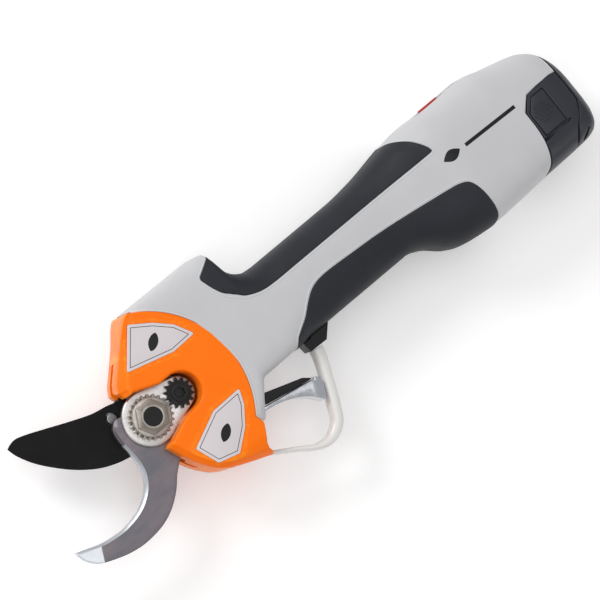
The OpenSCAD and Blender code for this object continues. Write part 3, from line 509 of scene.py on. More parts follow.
# Colour, roughness, grain, depth, shine, blotches, edge colour (painted edge highlight) and coat of the moulded
# slots
PLASTICS = {
    "grey_shell": ((192, 192, 194), 0.48, 2400, 0.010, 0.3, 0.02, (208, 209, 211)),
    "soft_grip": ((30, 32, 39), 0.62, 1900, 0.030, 0.35, 0.10),
    "orange_cover": ((255, 116, 0), 0.36, 2600, 0.004, 0.16, 0.02, (255, 148, 36)),
    "label": ((208, 201, 204), 0.42, 1500, 0.004, 0.5, 0.03),
    "guard_grey": ((222, 220, 217), 0.3, 2600, 0.004, 0.5, 0.02, None, 0.3),
    "black_plastic": ((17, 18, 21), 0.4, 2300, 0.012, 0.3, 0.08),
    "black_steel": ((13, 13, 15), 0.4, 1200, 0.010, 0.3, 0.15, (70, 70, 74)),
    "motor_black": ((36, 36, 39), 0.4, 900, 0.03, 0.5, 0.1),
    "board": ((14, 84, 48), 0.3, 700, 0.01, 0.5, 0.2),
    "button_red": ((186, 30, 22), 0.5, 1500, 0.02, 0.4, 0.05),
    "battery_plastic": ((40, 42, 50), 0.42, 2300, 0.016, 0.42, 0.06),
    "cell_wrap": ((38, 92, 140), 0.25, 500, 0.004, 0.5, 0.05),
}
# Both colours, roughness, stretch, turn, scale, depth and edge colour (painted edge highlight and wear) of the
# metal slots
STEELS = {
    "anvil_steel": ((112, 112, 118), (132, 122, 127), 0.4, (1, 5, 1), 12, 240, 0.006),
    "case_aluminium": ((168, 170, 174), (150, 152, 156), 0.5, (1, 1, 1), 0, 900, 0.02),
    "plate_steel": ((156, 151, 150), (140, 134, 132), 0.34, (8, 1, 1), 20, 260, 0.003, (246, 244, 242)),
    "nut_steel": ((122, 112, 104), (92, 83, 76), 0.36, (1, 1, 1), 0, 700, 0.012, (226, 220, 212)),
    "bright_steel": ((196, 197, 200), (184, 185, 188), 0.14, (1, 1, 1), 0, 500, 0.001),
    "gear_steel": ((118, 116, 118), (100, 97, 98), 0.38, (1, 6, 1), 0, 300, 0.006, (210, 210, 214)),
    "bronze": ((190, 146, 82), (164, 120, 62), 0.38, (1, 1, 1), 0, 800, 0.01),
    "lamination": ((128, 128, 132), (98, 98, 102), 0.42, (30, 1, 1), 0, 90, 0.03),
    "chrome_trim": ((212, 215, 220), (200, 204, 210), 0.12, (1, 1, 1), 0, 260, 0.0006),
}
OTHERS = {"blade_steel": coated, "copper": windings_copper, "led_clear": lens}
made = {}


def material(slot):
    if slot not in made:
        if slot in PLASTICS:
            made[slot] = moulded(slot, *PLASTICS[slot])
        elif slot in STEELS:
            made[slot] = steel(slot, *STEELS[slot])
        else:
            made[slot] = OTHERS[slot](slot)
    return made[slot]


# ---- Pieces that keep their plain shape ----

for part in record["subparts"]:
    node = nodes[part["node"]]
    node.data.materials.clear()
    node.data.materials.append(material(part["material_slot"]))


def soften(name, width_mm):
    obj = nodes[name]
    weld = obj.modifiers.new("weld", "WELD")
    weld.merge_threshold = 1e-6
    bevel = obj.modifiers.new("bevel", "BEVEL")
    bevel.width = width_mm * MM
    bevel.segments = 3
    bevel.limit_method = "ANGLE"
    bevel.angle_limit = math.radians(35)
    bevel.harden_normals = True


for name, width in {
    "gear_case": 0.25, "guard_bracket": 0.35, "pivot_bolt": 0.3, "switch_panel": 0.3, "power_button": 0.5,
    "led_lens": 0.15, "anvil_screws": 0.2, "shell_screws": 0.15, "cover_screws": 0.15, "contact_block": 0.3,
}.items():
    soften(name, width)

# ---- The skin of the handle ----

# The back edge, the finger edge and the half thickness at each x, and how square the section is
HEAD_HALF = 15.5
BACK = Curve([
    (18, 42.6), (59, 42), (62.9, 41.2), (64.2, 37.5), (65.7, 30), (69.5, 25), (75, 22.2), (82, 21.5),
    (125, 21.5), (138, 22.4), (165, 26.5), (175, 27.3), (186, 26.8), (207, 27.2), (217, 24.7),
    (227, 22.2), (233, 20.4), (238, 17), (241.5, 12), (243.4, 6), (244.2, 0), (244.6, -6),
])
FINGER = Curve([
    (18, -33), (21.1, -33.2), (43.7, -19.6), (51.3, -18.4), (75, -18.4), (80, -17.9), (137, -17.9),
    (146, -20.8), (155, -27.7), (161, -30.5), (170, -31.9), (178, -32.5), (213, -31.2), (228, -30.8),
    (235, -30.4), (240, -29), (243, -25), (244.2, -18.5), (244.6, -12),
])
HALF = Curve([
    (18, HEAD_HALF), (24, HEAD_HALF), (51.6, 16.2), (58, 17.2), (80, 18), (138, 18), (162, 22.5),
    (180, 25.5), (232, 25.5), (239, 24.6), (242, 22), (243.8, 18), (244.6, 13),
])
SQUARE = Curve([(18, 8), (56, 7), (80, 3), (140, 3), (180, 4), (244.6, 4)])
REAR = 244.6
BORDER_R, BORDER_X, STRAIGHT_X, FRONT_X = 47.6, -2, 51.6, 18
TAIL_Y = -28.9


def skin(x, phi, inset=0):
    """Point of the skin at x and angle phi round its section, which is 90 at the back edge."""
    x, phi = np.asarray(x, float), np.radians(phi)
    mid, half, p = (BACK(x) + FINGER(x)) / 2, (BACK(x) - FINGER(x)) / 2, 2 / SQUARE(x)
    s, c = np.sin(phi), np.maximum(np.cos(phi), 0)
    y = mid + (half - inset) * np.sign(s) * np.abs(s) ** p
    z = (HALF(x) - inset) * c**p
    share = np.clip((STRAIGHT_X - x) / (STRAIGHT_X - FRONT_X), 0, 1)
    front = BORDER_X + np.sqrt(BORDER_R**2 - np.minimum(np.abs(y), 46) ** 2)
    front = np.where(y < TAIL_Y, BORDER_X + math.sqrt(BORDER_R**2 - TAIL_Y**2) + (TAIL_Y - y) * 0.4, front)
    x = np.maximum(x, STRAIGHT_X) * (1 - share) + share * front
    return np.stack([x, y, z], -1)


def phi_y(x, y):
    """Angle round the section at which the skin has this y."""
    mid, half = (BACK(x) + FINGER(x)) / 2, (BACK(x) - FINGER(x)) / 2
    v = np.clip((y - mid) / half, -1, 1)
    return np.degrees(np.arcsin(np.sign(v) * np.abs(v) ** (SQUARE(x) / 2)))


def phi_z(x, z):
    """Angle round the section at which the skin has this z."""
    return np.degrees(np.arccos((z / HALF(x)) ** (SQUARE(x) / 2)))


def skin_frame(x, phi):
    """Unit normal of the skin."""
    e = 0.05
    a = skin(x + e, phi) - skin(x - e, phi)
    b = skin(x, np.minimum(phi + 0.5, 90)) - skin(x, np.maximum(phi - 0.5, -90))
    n = np.cross(a, b)
    n /= np.linalg.norm(n, axis=-1, keepdims=True)
    return n * np.sign((n * (skin(x, phi) - skin(x, phi, 1))).sum(-1, keepdims=True) + 1e-9)


def quarter(s, r, depth):
    """Inset at distance s from an edge that is rounded over r and depth deep."""
    t = np.clip(1 - s / r, 0, 1)
    return depth * (1 - np.sqrt(np.maximum(1 - t**2, 0)))


def ruled(low, high, cols, near, low_edge, high_edge, end_edge=(0, 0), proud=0, thick=3):
    """Closed sheet on the skin between two lines of (x, phi), with edges of (radius, depth)."""
    low, high = np.asarray(low, float), np.asarray(high, float)
    reach = np.linalg.norm(skin(*high.T) - skin(*low.T), axis=1)
    even = np.linspace(0, 1, cols) * (1 - 2 * 1e-4) + 1e-4
    w = []
    for r in reach:
        extra = np.array(near) / max(r, 1e-6)
        w.append(np.sort(np.concatenate([even, [0, 1], np.minimum(extra, 0.5), 1 - np.minimum(extra, 0.49)])))
    w = np.array(w)
    x = low[:, :1] * (1 - w) + high[:, :1] * w
    phi = low[:, 1:] * (1 - w) + high[:, 1:] * w
    flat = skin(x, phi)
    steps = np.linalg.norm(np.diff(flat, axis=1), axis=2)
    along = np.concatenate([np.zeros((len(w), 1)), np.cumsum(steps, 1)], 1)
    inset = quarter(along, *low_edge) + quarter(along[:, -1:] - along, *high_edge)
    if end_edge[1]:
        rows = np.linalg.norm(np.diff(flat, axis=0), axis=2)
        down = np.concatenate([np.zeros((1, rows.shape[1])), np.cumsum(rows, 0)])
        inset = np.maximum(inset, quarter(down, *end_edge))
    outer = skin(x, phi, inset - proud)
    return slab_mesh(outer, skin(x, phi, thick))


# ---- Grey shells ----

# Half width of the trigger's slot, the casing's box, and the step edge in front of the pack as
# (x, y, x at which that row meets the back edge)
SLOT_HALF = 6.5
PACK_LOW, PACK_HIGH = np.array((-26, -20.6)), np.array((12.6, 20.6))
PACK_FRONT, PACK_REAR = 168.2, 232
STEP = [
    (201, -40, 201), (206.6, -33.4, 206.5), (208, -31, 207.5), (212, -27.5, 210.5), (214.6, -20, 213.5),
    (215.7, -12, 216), (215.9, -3.4, 218.5), (216.8, -1.6, 219.5), (221, 2.9, 223), (222.6, 3.75, 225),
    (231, 3.85, 232), (239, 3.9, 239),
]


def round_box(low, high, r):
    """Rectangle in (y, z) with rounded corners."""
    corners = ((high[0], high[1], 0), (low[0], high[1], 90), (low[0], low[1], 180), (high[0], low[1], 270))
    middle = np.mean([low, high], 0)
    line = []
    for y, z, a in corners:
        centre = (y - r * np.sign(y - middle[0]), z - r * np.sign(z - middle[1]))
        line += arc(centre, r, a, a + 90, 8)
    return np.array(line)


def bar(x0, x1, outline):
    """Closed bar along X with this (y, z) outline."""
    n = len(outline)
    return np.concatenate([np.c_[np.full(n, x), outline] for x in (x0, x1)]), tube_faces(2, n)


def shell(side):
    """Grey half shell, with its rows closer together where the handle curves."""
    xs = [18 + np.array([0, 0.3, 1, 2.2, 4.5, 8, 14, 20, 26]), np.linspace(46, 51.6, 10), [51.75]]
    xs += [np.linspace(52.5, 62, 12), np.linspace(62.4, 70, 26), np.linspace(71, 82, 10)]
    xs += [np.linspace(84, 134, 20), np.linspace(136, 182, 30), np.linspace(183, 198, 8)]
    xs = np.concatenate(xs)
    low = [(x, -float(phi_z(x, SLOT_HALF)) if x < 51.7 else -90) for x in xs]
    high = [(x, 90) for x in xs]
    step = np.array(smooth(STEP, 6))
    low += [(x, float(phi_y(x, y))) for x, y, _ in step]
    high += [(u, 90) for _, _, u in step]
    mesh = ruled(low, high, 60, (0.1, 0.25, 0.45, 0.7), (0.7, 0.7), (0.25, 0.2), (1.1, 0.9))
    name = sided(side, "shell")
    obj = mesh_object(name + "_skin", *mesh, "grey_shell", stands_for=[name], angle=50, flip=side < 0)
    opening = round_corners([(182.1, 20), (206.9, 20), (206.9, 32), (182.1, 32)], 0.3, 2)
    path = bar(PACK_FRONT - 1, PACK_REAR + 8, round_box(PACK_LOW - 0.3, PACK_HIGH + 0.3, 9.5))
    cut(obj, prism(opening, -4.55, 4.55, 0, 0))
    cut(obj, path)


for side in (1, -1):
    shell(side)

# ---- Soft grips ----

UPPER_GRIP = [
    (54.4, 32.9), (54.5, 31.6), (56.2, 26.2), (58.4, 21.6), (61, 18.4), (65.6, 14.6), (72.6, 11.8),
    (80.6, 11), (95, 11), (120, 11), (145, 11), (166, 11), (171.2, 11.2), (171.9, 12.1), (170.9, 15),
    (167.9, 20), (163.8, 24), (159, 27.6),
]
LOWER_GRIP = [
    (70.4, -18.6), (72.6, -14.6), (75.6, -12.4), (80.6, -9.2), (85.6, -4.8), (90.6, -1.4), (96, 0.2),
    (103.6, 0.4), (115.6, -0.4), (130.6, -1.5), (150.6, -3.9), (165.6, -5.9), (172.4, -7.3),
    (176.4, -10), (178.6, -17), (179, -27), (177.6, -31), (173.4, -33.6),
]


UPPER_FAR = [
    (0, 54.4, 32.9), (0.01, 54.9, 33.9), (0.03, 57.2, 35.2), (0.05, 60, 36.7), (0.075, 63, 38.1),
    (0.09, 64.6, 35.2), (0.11, 65.9, 99), (0.25, 71, 99), (0.4, 84, 99), (0.88, 148, 99), (1, 159, 99),
]
LOWER_FAR = [(0, 70.4, -99), (0.12, 76, -99), (0.85, 160, -99), (1, 173.4, -99)]


def grip(side, name, border, far):
    """Soft strip from its border on the face to a far line of (share of the border, x, y)."""
    line = np.array(smooth(border, 7))
    steps = np.linalg.norm(np.diff(line, axis=0), axis=1)
    t = np.concatenate([[0], np.cumsum(steps)]) / steps.sum()
    low = np.c_[line[:, 0], phi_y(line[:, 0], line[:, 1])]
    share, x, y = np.array(far).T
    phi = phi_y(x, y)
    low[-1, 1] = phi[-1]
    high = np.c_[np.interp(t, share, x), np.interp(t, share, phi)]
    low[0] = high[0]
    mesh = ruled(low, high, 26, (0.12, 0.3, 0.55, 0.9), (0.9, 1.0), (0.3, 0.3), proud=0.35, thick=1.2)
    full = sided(side, name)
    mesh_object(full + "_skin", *mesh, "soft_grip", stands_for=[full], angle=50, flip=side < 0)
    front = high[np.abs(high[:, 1]) < 89.9][:0:-1]
    bead(side, full + "_lip", np.concatenate([front, low]))


def bead(side, name, line, away=0.55, r=0.4, proud=0.08):
    """Raised lip of the grey shell along a grip's border."""
    x, phi = line.T
    p, n = skin(x, phi), skin_frame(x, phi)
    along = np.gradient(p, axis=0)
    along /= np.linalg.norm(along, axis=1, keepdims=True)
    out = np.cross(along, n)
    inner = skin(line[len(line) // 2, 0], 60 if line[1, 1] > 0 else -60)
    if ((p[len(p) // 2] - inner) @ out[len(p) // 2]) < 0:
        out = -out
    a = np.radians(np.linspace(0, 360, 11)[:-1])
    sideways, upwards = away + r * np.cos(a), proud - 0.25 + r * np.sin(a)
    rings = p[:, None] + out[:, None] * sideways[None, :, None] + n[:, None] * upwards[None, :, None]
    rings[..., 2] = np.maximum(rings[..., 2], 0.05)
    faces = tube_faces(len(p), len(a))
    mesh_object(name, rings.reshape(-1, 3), faces, "grey_shell", angle=60, flip=side < 0)


for side in (1, -1):
    grip(side, "upper_grip", UPPER_GRIP, UPPER_FAR)
    grip(side, "lower_grip", LOWER_GRIP, LOWER_FAR)
    rim = [(18.4, phi) for phi in phi_y(18.4, np.linspace(-32.6, 41.5, 60))]
    bead(side, sided(side, "rim"), np.array(rim), 0, 0.5, 0.02)

# ---- Plain printed stripe and leaf on the handle ----


def decal(side, name, xs, low_y, high_y):
    """Thin black print between two heights along x."""
    low = np.c_[xs, phi_y(xs, low_y)]
    high = np.c_[xs, phi_y(xs, high_y)]
    mesh = ruled(low, high, 8, (0.1,), (0.05, 0.02), (0.05, 0.02), proud=0.05, thick=0.3)
    mesh_object(sided(side, name), *mesh, "black_plastic", angle=50, flip=side < 0)


for side in (1, -1):
    t = np.linspace(0.02, 0.98, 24)
    belly = 2.6 * np.sin(np.pi * t)
    decal(side, "leaf", 172.5 + 9.5 * t, 4.4 - belly, 4.4 + belly)
    stripe = np.linspace(185, 214, 30)
    fall = (stripe - 185) * 0.03
    decal(side, "stripe", stripe, 3.2 - fall, 4.9 - fall)

# ---- Orange head covers ----

# Edges of the covers, the lock gear's centre, the labels, and the thickness of the two blades
BACK_EDGE = [(19.2, 42.3), (17.7, 41.5), (15, 39.2), (5, 29), (-2.8, 21.3), (-5.3, 17.4), (-4.9, 15.6)]
TAIL_EDGE = [
    (-3.4, -15), (-1.2, -20.5), (-0.4, -22.6), (2.2, -27.7), (5.2, -32.4), (9.2, -36.8), (13.2, -39.4),
    (25, -44.4), (32.3, -47.1),
]
TAIL_END = [(32.9, -46.3), (31.8, -43.4), (32.2, -41.2), (36.7, -33.2)]
LOCK = (16.6, 0.4)
UPPER_LABEL = [(16.4, 38.3), (2.6, 22.1), (25, 16.1), (37.6, 16.5), (32.9, 25.3), (25.8, 32)]
LOWER_LABEL = [
    (5, -22.7), (22, -14.9), (37.6, -14.5), (34.8, -21.4), (28.8, -29.3), (19.4, -36.8), (9.2, -34),
]
ANVIL_T, BLADE_T = 5.2, 4.0


def label_outline(points, inset, corner=0.9):
    sides = counter_clockwise(points)
    return round_corners(sides + normals(sides) * inset, corner, 4)


def band(x, y, line, width, drop):
    """Bevelled band along part of the outline: how far the surface falls."""
    t = np.clip(1 - distance(np.array(line), np.c_[x, y], closed=False) / width, 0, 1)
    return drop * np.where(t < 0.12, t**2 / 0.24, t - 0.06) / 0.94


def cover(side):
    """Orange cover with its labels; the right one has a pocket round the nut and the lock gear."""
    right = side > 0
    border = arc((BORDER_X, 0), BORDER_R - 0.35, -37.6, 62.3, 70)
    if right:
        front = [(-4.4, 13.9), (-3, 13.6), (0, 13.5), (11.2, 9.2)]
        front += arc(LOCK, 8.8, 84, -88, 26) + [(11.2, -9), (0, -13.4), (-2.4, -13.8)]
    else:
        front = arc((0, 0), 15.2, 106, -102, 40)
    outline = dense(border + BACK_EDGE + front + TAIL_EDGE + TAIL_END, 1.1)
    rim = 1.5 if right else 0.8
    pocket = np.array(front)
    labels = [label_outline(p, -0.05) for p in (UPPER_LABEL, LOWER_LABEL)]

    def top(x, y, reach):
        xy = np.c_[x, y]
        z = HEAD_HALF - quarter(reach, 0.7, 0.7)
        back = band(x, y, BACK_EDGE[1:], 3.6, 4.6) * np.clip((42 - y) / 8, 0, 1)
        z -= back + band(x, y, TAIL_EDGE, 2.7, 2.6)
        z -= quarter(distance(pocket, xy, closed=False), rim, rim)
        z -= 4.5 * np.clip((-37 - y) / 11, 0, 1) ** 1.6
        for label in labels:
            z -= 0.45 * (inside(label, xy) & (distance(label, xy) > 0.04))
        return z

    def base(x, y, reach):
        z = np.where(reach > 2.1, top(x, y, reach) - 2.2, 0.1)
        near = np.hypot(x, y)
        if right:
            over_anvil = (near < 30) & (x < 8) & (y > -24.5) & (y < 17.5)
            return np.where(over_anvil, np.maximum(z, ANVIL_T + 0.3), z)
        return np.where((near < 31) & (x < 4), np.maximum(z, BLADE_T + 0.4), z)

    creases = []
    for label in labels:
        line = dense(label, 0.9)
        creases += [line, line + normals(line) * 0.08]
    bevels = [(BACK_EDGE, (3.6, 3.17, 2.6)), (TAIL_EDGE, (2.7, 2.38, 1.9))]
    for edge, widths in bevels + [(front, (1.5, 1.0, 0.6, 0.3, 0.1))]:
        line = dense(edge, 1.0, closed=False)
        creases += [offset_line(line, width) for width in widths]
    mesh = relief(outline, top, base, (0.05, 0.15, 0.32, 0.55, 0.8, 1.2, 2.2), 1.6, creases)
    name = sided(side, "head_cover")
    mesh_object(name + "_moulding", *mesh, "orange_cover", stands_for=[name], angle=38, flip=not right)
    plates = []
    for label in (UPPER_LABEL, LOWER_LABEL):
        plates.append(prism(label_outline(label, 0.05), HEAD_HALF - 0.44, HEAD_HALF - 0.04, 0.12, 0.05))
    name = sided(side, "labels")
    mesh_object(name + "_plates", *merged(*plates), "label", stands_for=[name], flip=not right)
    prints = label_print(UPPER_LABEL, (20.6, 25.2)) + label_print(LOWER_LABEL, (20.2, -25.8))
    mesh_object(name + "_print", *merged(*prints), "black_plastic", flip=not right)


def label_print(points, centre):
    """Thin printed line inside a label's edge, and a plain leaf in its middle."""
    outer, inner = label_outline(points, 1.35, 0.4), label_outline(points, 1.62, 0.3)
    line = prism(outer, HEAD_HALF - 0.06, HEAD_HALF - 0.01, 0, 0, [inner])
    leaf = arc((0, -3.4), 5.6, 140, 40, 12) + arc((0, 3.4), 5.6, -40, -140, 12)[1:-1]
    turned = np.array(leaf) @ np.array([[0.8, 0.6], [-0.6, 0.8]])
    return [line, prism(np.array(centre) + turned, HEAD_HALF - 0.06, HEAD_HALF - 0.01, 0, 0)]


for side in (1, -1):
    cover(side)

# ---- Guard ----

GUARD_LINE = np.array(smooth([
    (32.2, -45.9), (37, -48.8), (44, -53), (51.5, -57.8), (58.5, -59), (65.5, -55.6), (70, -48),
    (74.5, -38), (78.3, -29), (79.6, -24.1),
], 9))


def guard():
    """Strap along its middle line, with a rounded section that gets wider towards the bracket."""
    t = np.linspace(0, 1, len(GUARD_LINE))
    half_w = Curve([(0, 2.2), (0.28, 2.8), (0.4, 4.4), (0.52, 5.8), (0.75, 6), (1, 6.4)])(t) / 2
    side = left_of(GUARD_LINE)
    a = np.radians(np.linspace(0, 360, 25)[:-1])
    u = np.sign(np.cos(a)) * np.abs(np.cos(a)) ** 0.75
    v = np.sign(np.sin(a)) * np.abs(np.sin(a)) ** 0.75
    xy = GUARD_LINE[:, None] + side[:, None] * (half_w[:, None] * u)[..., None]
    z = np.broadcast_to(4.2 * v, (len(t), len(a)))
    points = np.concatenate([xy, z[..., None]], 2).reshape(-1, 3)
    faces = tube_faces(len(t), len(a))
    mesh_object("trigger_guard_strap", points, faces, "guard_grey", stands_for=["trigger_guard"], angle=60)


guard()

# ---- Blades ----

BLADE_EDGE = smooth([
    (-57, 29), (-55.6, 24), (-51.5, 16.6), (-45, 8.7), (-38, 2), (-30, -3.5), (-22, -6.8), (-14, -8.6),
], 8)
BLADE_BACK = smooth([
    (-1.2, 13.95), (-5.5, 14.4), (-10, 15.7), (-18, 17.4), (-28, 21.2), (-38, 25.4), (-46, 28.7),
    (-51, 30.2), (-55, 29.8),
], 5)
ANVIL_INNER = smooth([
    (-63.4, -24.6), (-58.2, -26.4), (-51.2, -28.8), (-42.5, -30), (-36, -29.6), (-29.2, -27.9),
    (-23.2, -24.4), (-19.2, -20), (-17, -14.8), (-16.6, -8), (-17.1, 0), (-16.4, 5.6), (-13.2, 8.9),
], 8)
ANVIL_OUTER = smooth([
    (-1, -22.6), (-6.2, -26.9), (-11.2, -32.1), (-18.2, -37.1), (-26.2, -40.1), (-36.2, -41.1),
    (-44.2, -40.1), (-51.2, -38), (-57.2, -35.4), (-60.3, -32.6), (-62.4, -29.2),
], 5)
PIN = (-12.1, 10)


def moving_blade():
    """Blade with a hollow-ground edge on its underside."""
    outline = dense(BLADE_EDGE + arc((0, 0), 14, 224, 448, 60) + BLADE_BACK, 0.9)
    edge = np.array(BLADE_EDGE)

    def under(x, y, reach):
        t = np.clip(1 - distance(edge, np.c_[x, y], closed=False) / 6, 0, 1)
        return -BLADE_T + 3.6 * t**0.85 + quarter(reach, 0.3, 0.2)

    def face(x, y, reach):
        return -quarter(reach, 0.35, 0.12) * (distance(edge, np.c_[x, y], closed=False) > 0.5)

    creases = [offset_line(BLADE_EDGE, d) for d in (6.05, 5.7, 4.5, 3, 1.5)]
    hub = arc((0, 0), 6.51, 0, 360, 40)[:-1]
    pin = arc(PIN, 2.9, 0, 360, 24)[:-1]
    mesh = relief(outline, face, under, (0.08, 0.2, 0.35), 1.5, creases, [hub, pin])
    mesh_object("moving_blade_ground", *mesh, "blade_steel", "blade", ["moving_blade"], angle=30)


def anvil():
    """Hooked blade with a ground inner edge and a bright bevel across its tip."""
    tail = arc((0, 0), 12.5, 138, 100, 12)
    tail += [(1, 18.5), (2.5, 24), (8.5, 24.5), (12.5, 20), (14, 10), (14, -12), (10.5, -22.8)]
    outline = dense(ANVIL_INNER + tail + ANVIL_OUTER, 0.8)
    inner = np.array(ANVIL_INNER)
    tip_from, tip_along = np.array((-52.6, -29.2)), np.array((-3.3, -6.4))
    tip_side = np.array((-tip_along[1], tip_along[0])) / np.linalg.norm(tip_along)

    def face(x, y, reach):
        xy = np.c_[x, y]
        z = ANVIL_T - quarter(reach, 0.35, 0.2)
        z -= 0.9 * np.clip(1 - distance(inner, xy, closed=False) / 1.25, 0, 1)
        beyond = (xy - tip_from) @ -tip_side
        return z - np.clip(beyond, 0, 99) * 0.16

    def under(x, y, reach):
        return 0.1 + quarter(reach, 0.3, 0.15)

    tip_line = []
    for t in np.linspace(-0.3, 1.2, 14):
        tip_line += [tip_from + tip_along * t + tip_side * s for s in (-0.1, 0.1)]
    creases = [offset_line(ANVIL_INNER[:-6], -1.25), offset_line(ANVIL_INNER[:-6], 1.25), np.array(tip_line)]
    mesh = relief(outline, face, under, (0.08, 0.2, 0.35), 1.3, creases, [arc((0, 0), 5.05, 0, 360, 40)[:-1]])
    obj = mesh_object("anvil_blade_ground", *mesh, "anvil_steel", stands_for=["anvil_blade"], angle=18)
    bright = steel("anvil_ground", (205, 209, 214), (190, 194, 200), 0.4, (1, 5, 1), 12, 240, 0.003)
    obj.data.materials.append(bright)
    for face in obj.data.polygons:
        spot = (np.array(face.center) - PIVOT) / MM
        near = distance(inner, spot[None, :2], closed=False)[0] < 1.2 and spot[1] < -2
        if spot[2] > 0.8 and (near or (spot[:2] - tip_from) @ -tip_side > 0.05):
            face.material_index = 1


moving_blade()
anvil()

# ---- Pivot: plate, nut, lock gear and bolt end ----


def gear_outline(teeth, r, depth, tip, root, turn, centre):
    """Toothed outline with rounded tips and roots."""
    flank = (root + tip) / 2.2
    tooth = [(-root, r - depth), (-flank, r - depth * 0.5), (-tip, r - 0.12), (0, r)]
    tooth += [(tip, r - 0.12), (flank, r - depth * 0.5), (root, r - depth)]
    points = []
    for i in range(teeth):
        for share, q in tooth:
            a = math.radians(360 * (i + share) / teeth + turn)
            points.append((centre[0] + q * math.cos(a), centre[1] + q * math.sin(a)))
    return np.array(points)


def circle(centre, r, n=48):
    return np.array(arc(centre, r, 0, 360, n)[:-1])


def six_sided(centre, corner, turn):
    """Hexagon with its corners at this distance from its centre."""
    angles = [math.radians(a) for a in range(turn, turn + 360, 60)]
    return [(centre[0] + corner * math.cos(a), centre[1] + corner * math.sin(a)) for a in angles]


def pivot_parts():
    """Teardrop plate, the nut with its toothed flange, and the lock gear that meshes with it."""
    z = ANVIL_T
    bore = [circle((0, 0), 4.3)]
    teardrop = np.array(arc((0, 0), 12.85, 72.6, 287.4, 60) + arc(LOCK, 7.9, -72.6, 72.6, 36))
    plate = prism(teardrop, z + 0.1, z + 2.1, 0.75, 0.1, bore, 0.3)
    mesh_object("pivot_plate_polished", *plate, "plate_steel", stands_for=["pivot_plate"], angle=60)
    turn = math.degrees(math.atan2(LOCK[1], LOCK[0]))
    toothed = gear_outline(24, 10.4, 1.25, 0.12, 0.36, turn, (0, 0))
    flange = prism(toothed, z + 2.2, z + 5.1, 0.3, 0.1, bore, 0.3)
    collar = prism(circle((0, 0), 8.75, 60), z + 4.6, z + 5.5, 0.25, 0.1, bore, 0.3)
    hexagon = round_corners(six_sided((0, 0), 14.2 / math.sqrt(3), 0), 0.35, 3)
    body = prism(hexagon, z + 5, z + 8.3, 0.3, 0.1, bore, 1.2)
    rim = prism(circle((0, 0), 5.3, 60), z + 8.0, z + 8.55, 0.16, 0.1, bore, 0.5)
    nut = merged(flange, collar, body, rim)
    mesh_object("pivot_nut_machined", *nut, "nut_steel", stands_for=["pivot_nut"], angle=28)
    toothed = gear_outline(14, 7.0, 1.55, 0.085, 0.33, 180 / 14 + turn, LOCK)
    teeth = prism(toothed, z + 2.2, z + 5.3, 0.22, 0.1)
    key = six_sided(LOCK, 2.35, 15)
    hub = prism(circle(LOCK, 4.0), z + 5, z + 6.6, 0.3, 0.1, [key], 0.5)
    floor = prism(circle(LOCK, 3.2), z + 4.9, z + 5.4, 0.05, 0.05)
    gear = merged(teeth, hub, floor)
    mesh_object("lock_gear_machined", *gear, "black_steel", stands_for=["lock_gear"], angle=28)


pivot_parts()
pin = prism(circle(PIN, 2.25), -7, -0.03, 0.25, 0.2)
mesh_object("blade_drive_pin_ground", *pin, "gear_steel", "blade", ["blade_drive_pin"])

# ---- Trigger ----


def trigger():
    """Polished lever with its arm to the hinge, and the dark insert above it."""
    arch = arc((41.5, -64), 33, 84, 47, 22)
    lever = [(43.4, -28.9), (39.4, -29.6), (38.9, -30.5), (42.6, -31.05)] + arch
    lever += [(65.4, -41.6), (67.2, -43.9), (68.1, -43.3), (71.7, -35.6)]
    lever += [(71.2, -34.3), (69.7, -32.6), (68.9, -33.3), (59.7, -31.8)]
    body = prism(dense(lever, 1.4), -6, 6, 0.5, 0.5)
    arm = [(38.5, -28.5), (38.9, -30.5), (44, -30.4), (43.2, -25), (41.6, -23.6), (39, -24.2)]
    whole = merged(body, prism(arm, -5, 5, 0.3, 0.3))
    mesh_object("trigger_lever_polished", *whole, "chrome_trim", "trigger", ["trigger_lever"], angle=30)
    wedge = round_corners([(47.2, -24), (44.7, -28.7), (59.7, -31.6), (69, -33), (65, -29.8)], 0.6, 3)
    insert = prism(wedge, -5.7, 5.7, 0.25, 0.25)
    mesh_object("trigger_insert_ribbed", *insert, "black_plastic", "trigger", ["trigger_insert"])


trigger()

# ---- Battery pack ----

CAP_EDGE = [
    (239.2, 30), (239.2, 3.6), (239.4, -4), (239.2, -12), (236.4, -17.4), (231.6, -22.8),
    (228.8, -27.6), (228, -33),
]
LATCH = [(217.4, -15.9), (229.3, -15.9), (229.3, 1.5), (222.9, 1.5), (217.4, -4.2)]
PACK_HALF = 25.5


def cap_border(y):
    """x of the end cap's seam at this y."""
    edge = np.array(CAP_EDGE)[::-1]
    return np.interp(y, edge[:, 1], edge[:, 0])


def pack_skin():
    """The part of the pack that shows behind the step, up to the end cap's seam."""
    step = np.array(smooth(STEP, 6))
    step = step[(step[:, 0] > 207) & (step[:, 0] < 238.9)]
    low = np.c_[step[:, 0] + 0.35, phi_y(step[:, 0] + 0.35, step[:, 1] - 0.3)]
    ys = -31 + (step[:, 1] - step[0, 1]) / (step[-1, 1] - step[0, 1]) * 34.3
    x = cap_border(ys) - 0.15
    high = np.c_[x, phi_y(x, ys)]
    high[0, 1] = low[0, 1] = -90
    return ruled(low, high, 34, (0.12, 0.3, 0.5), (0.5, 0.5), (0.5, 0.5), proud=-0.05, thick=2.4)


def casing(x0, x1, low, high, r, wall):
    """Thin-walled box along the pack, closed in front and open behind."""
    rings = [(x0, 0.8), (x0 + 0.3, 0.3), (x0 + 0.9, 0), (x1, 0), (x1, wall), (x0 + wall, wall)]
    points = []
    for x, inset in rings:
        outline = round_box(low + inset, high - inset, r - inset)
        points.append(np.c_[np.full(len(outline), x), outline])
    n = len(points[0])
    return np.concatenate(points), tube_faces(len(rings), n)


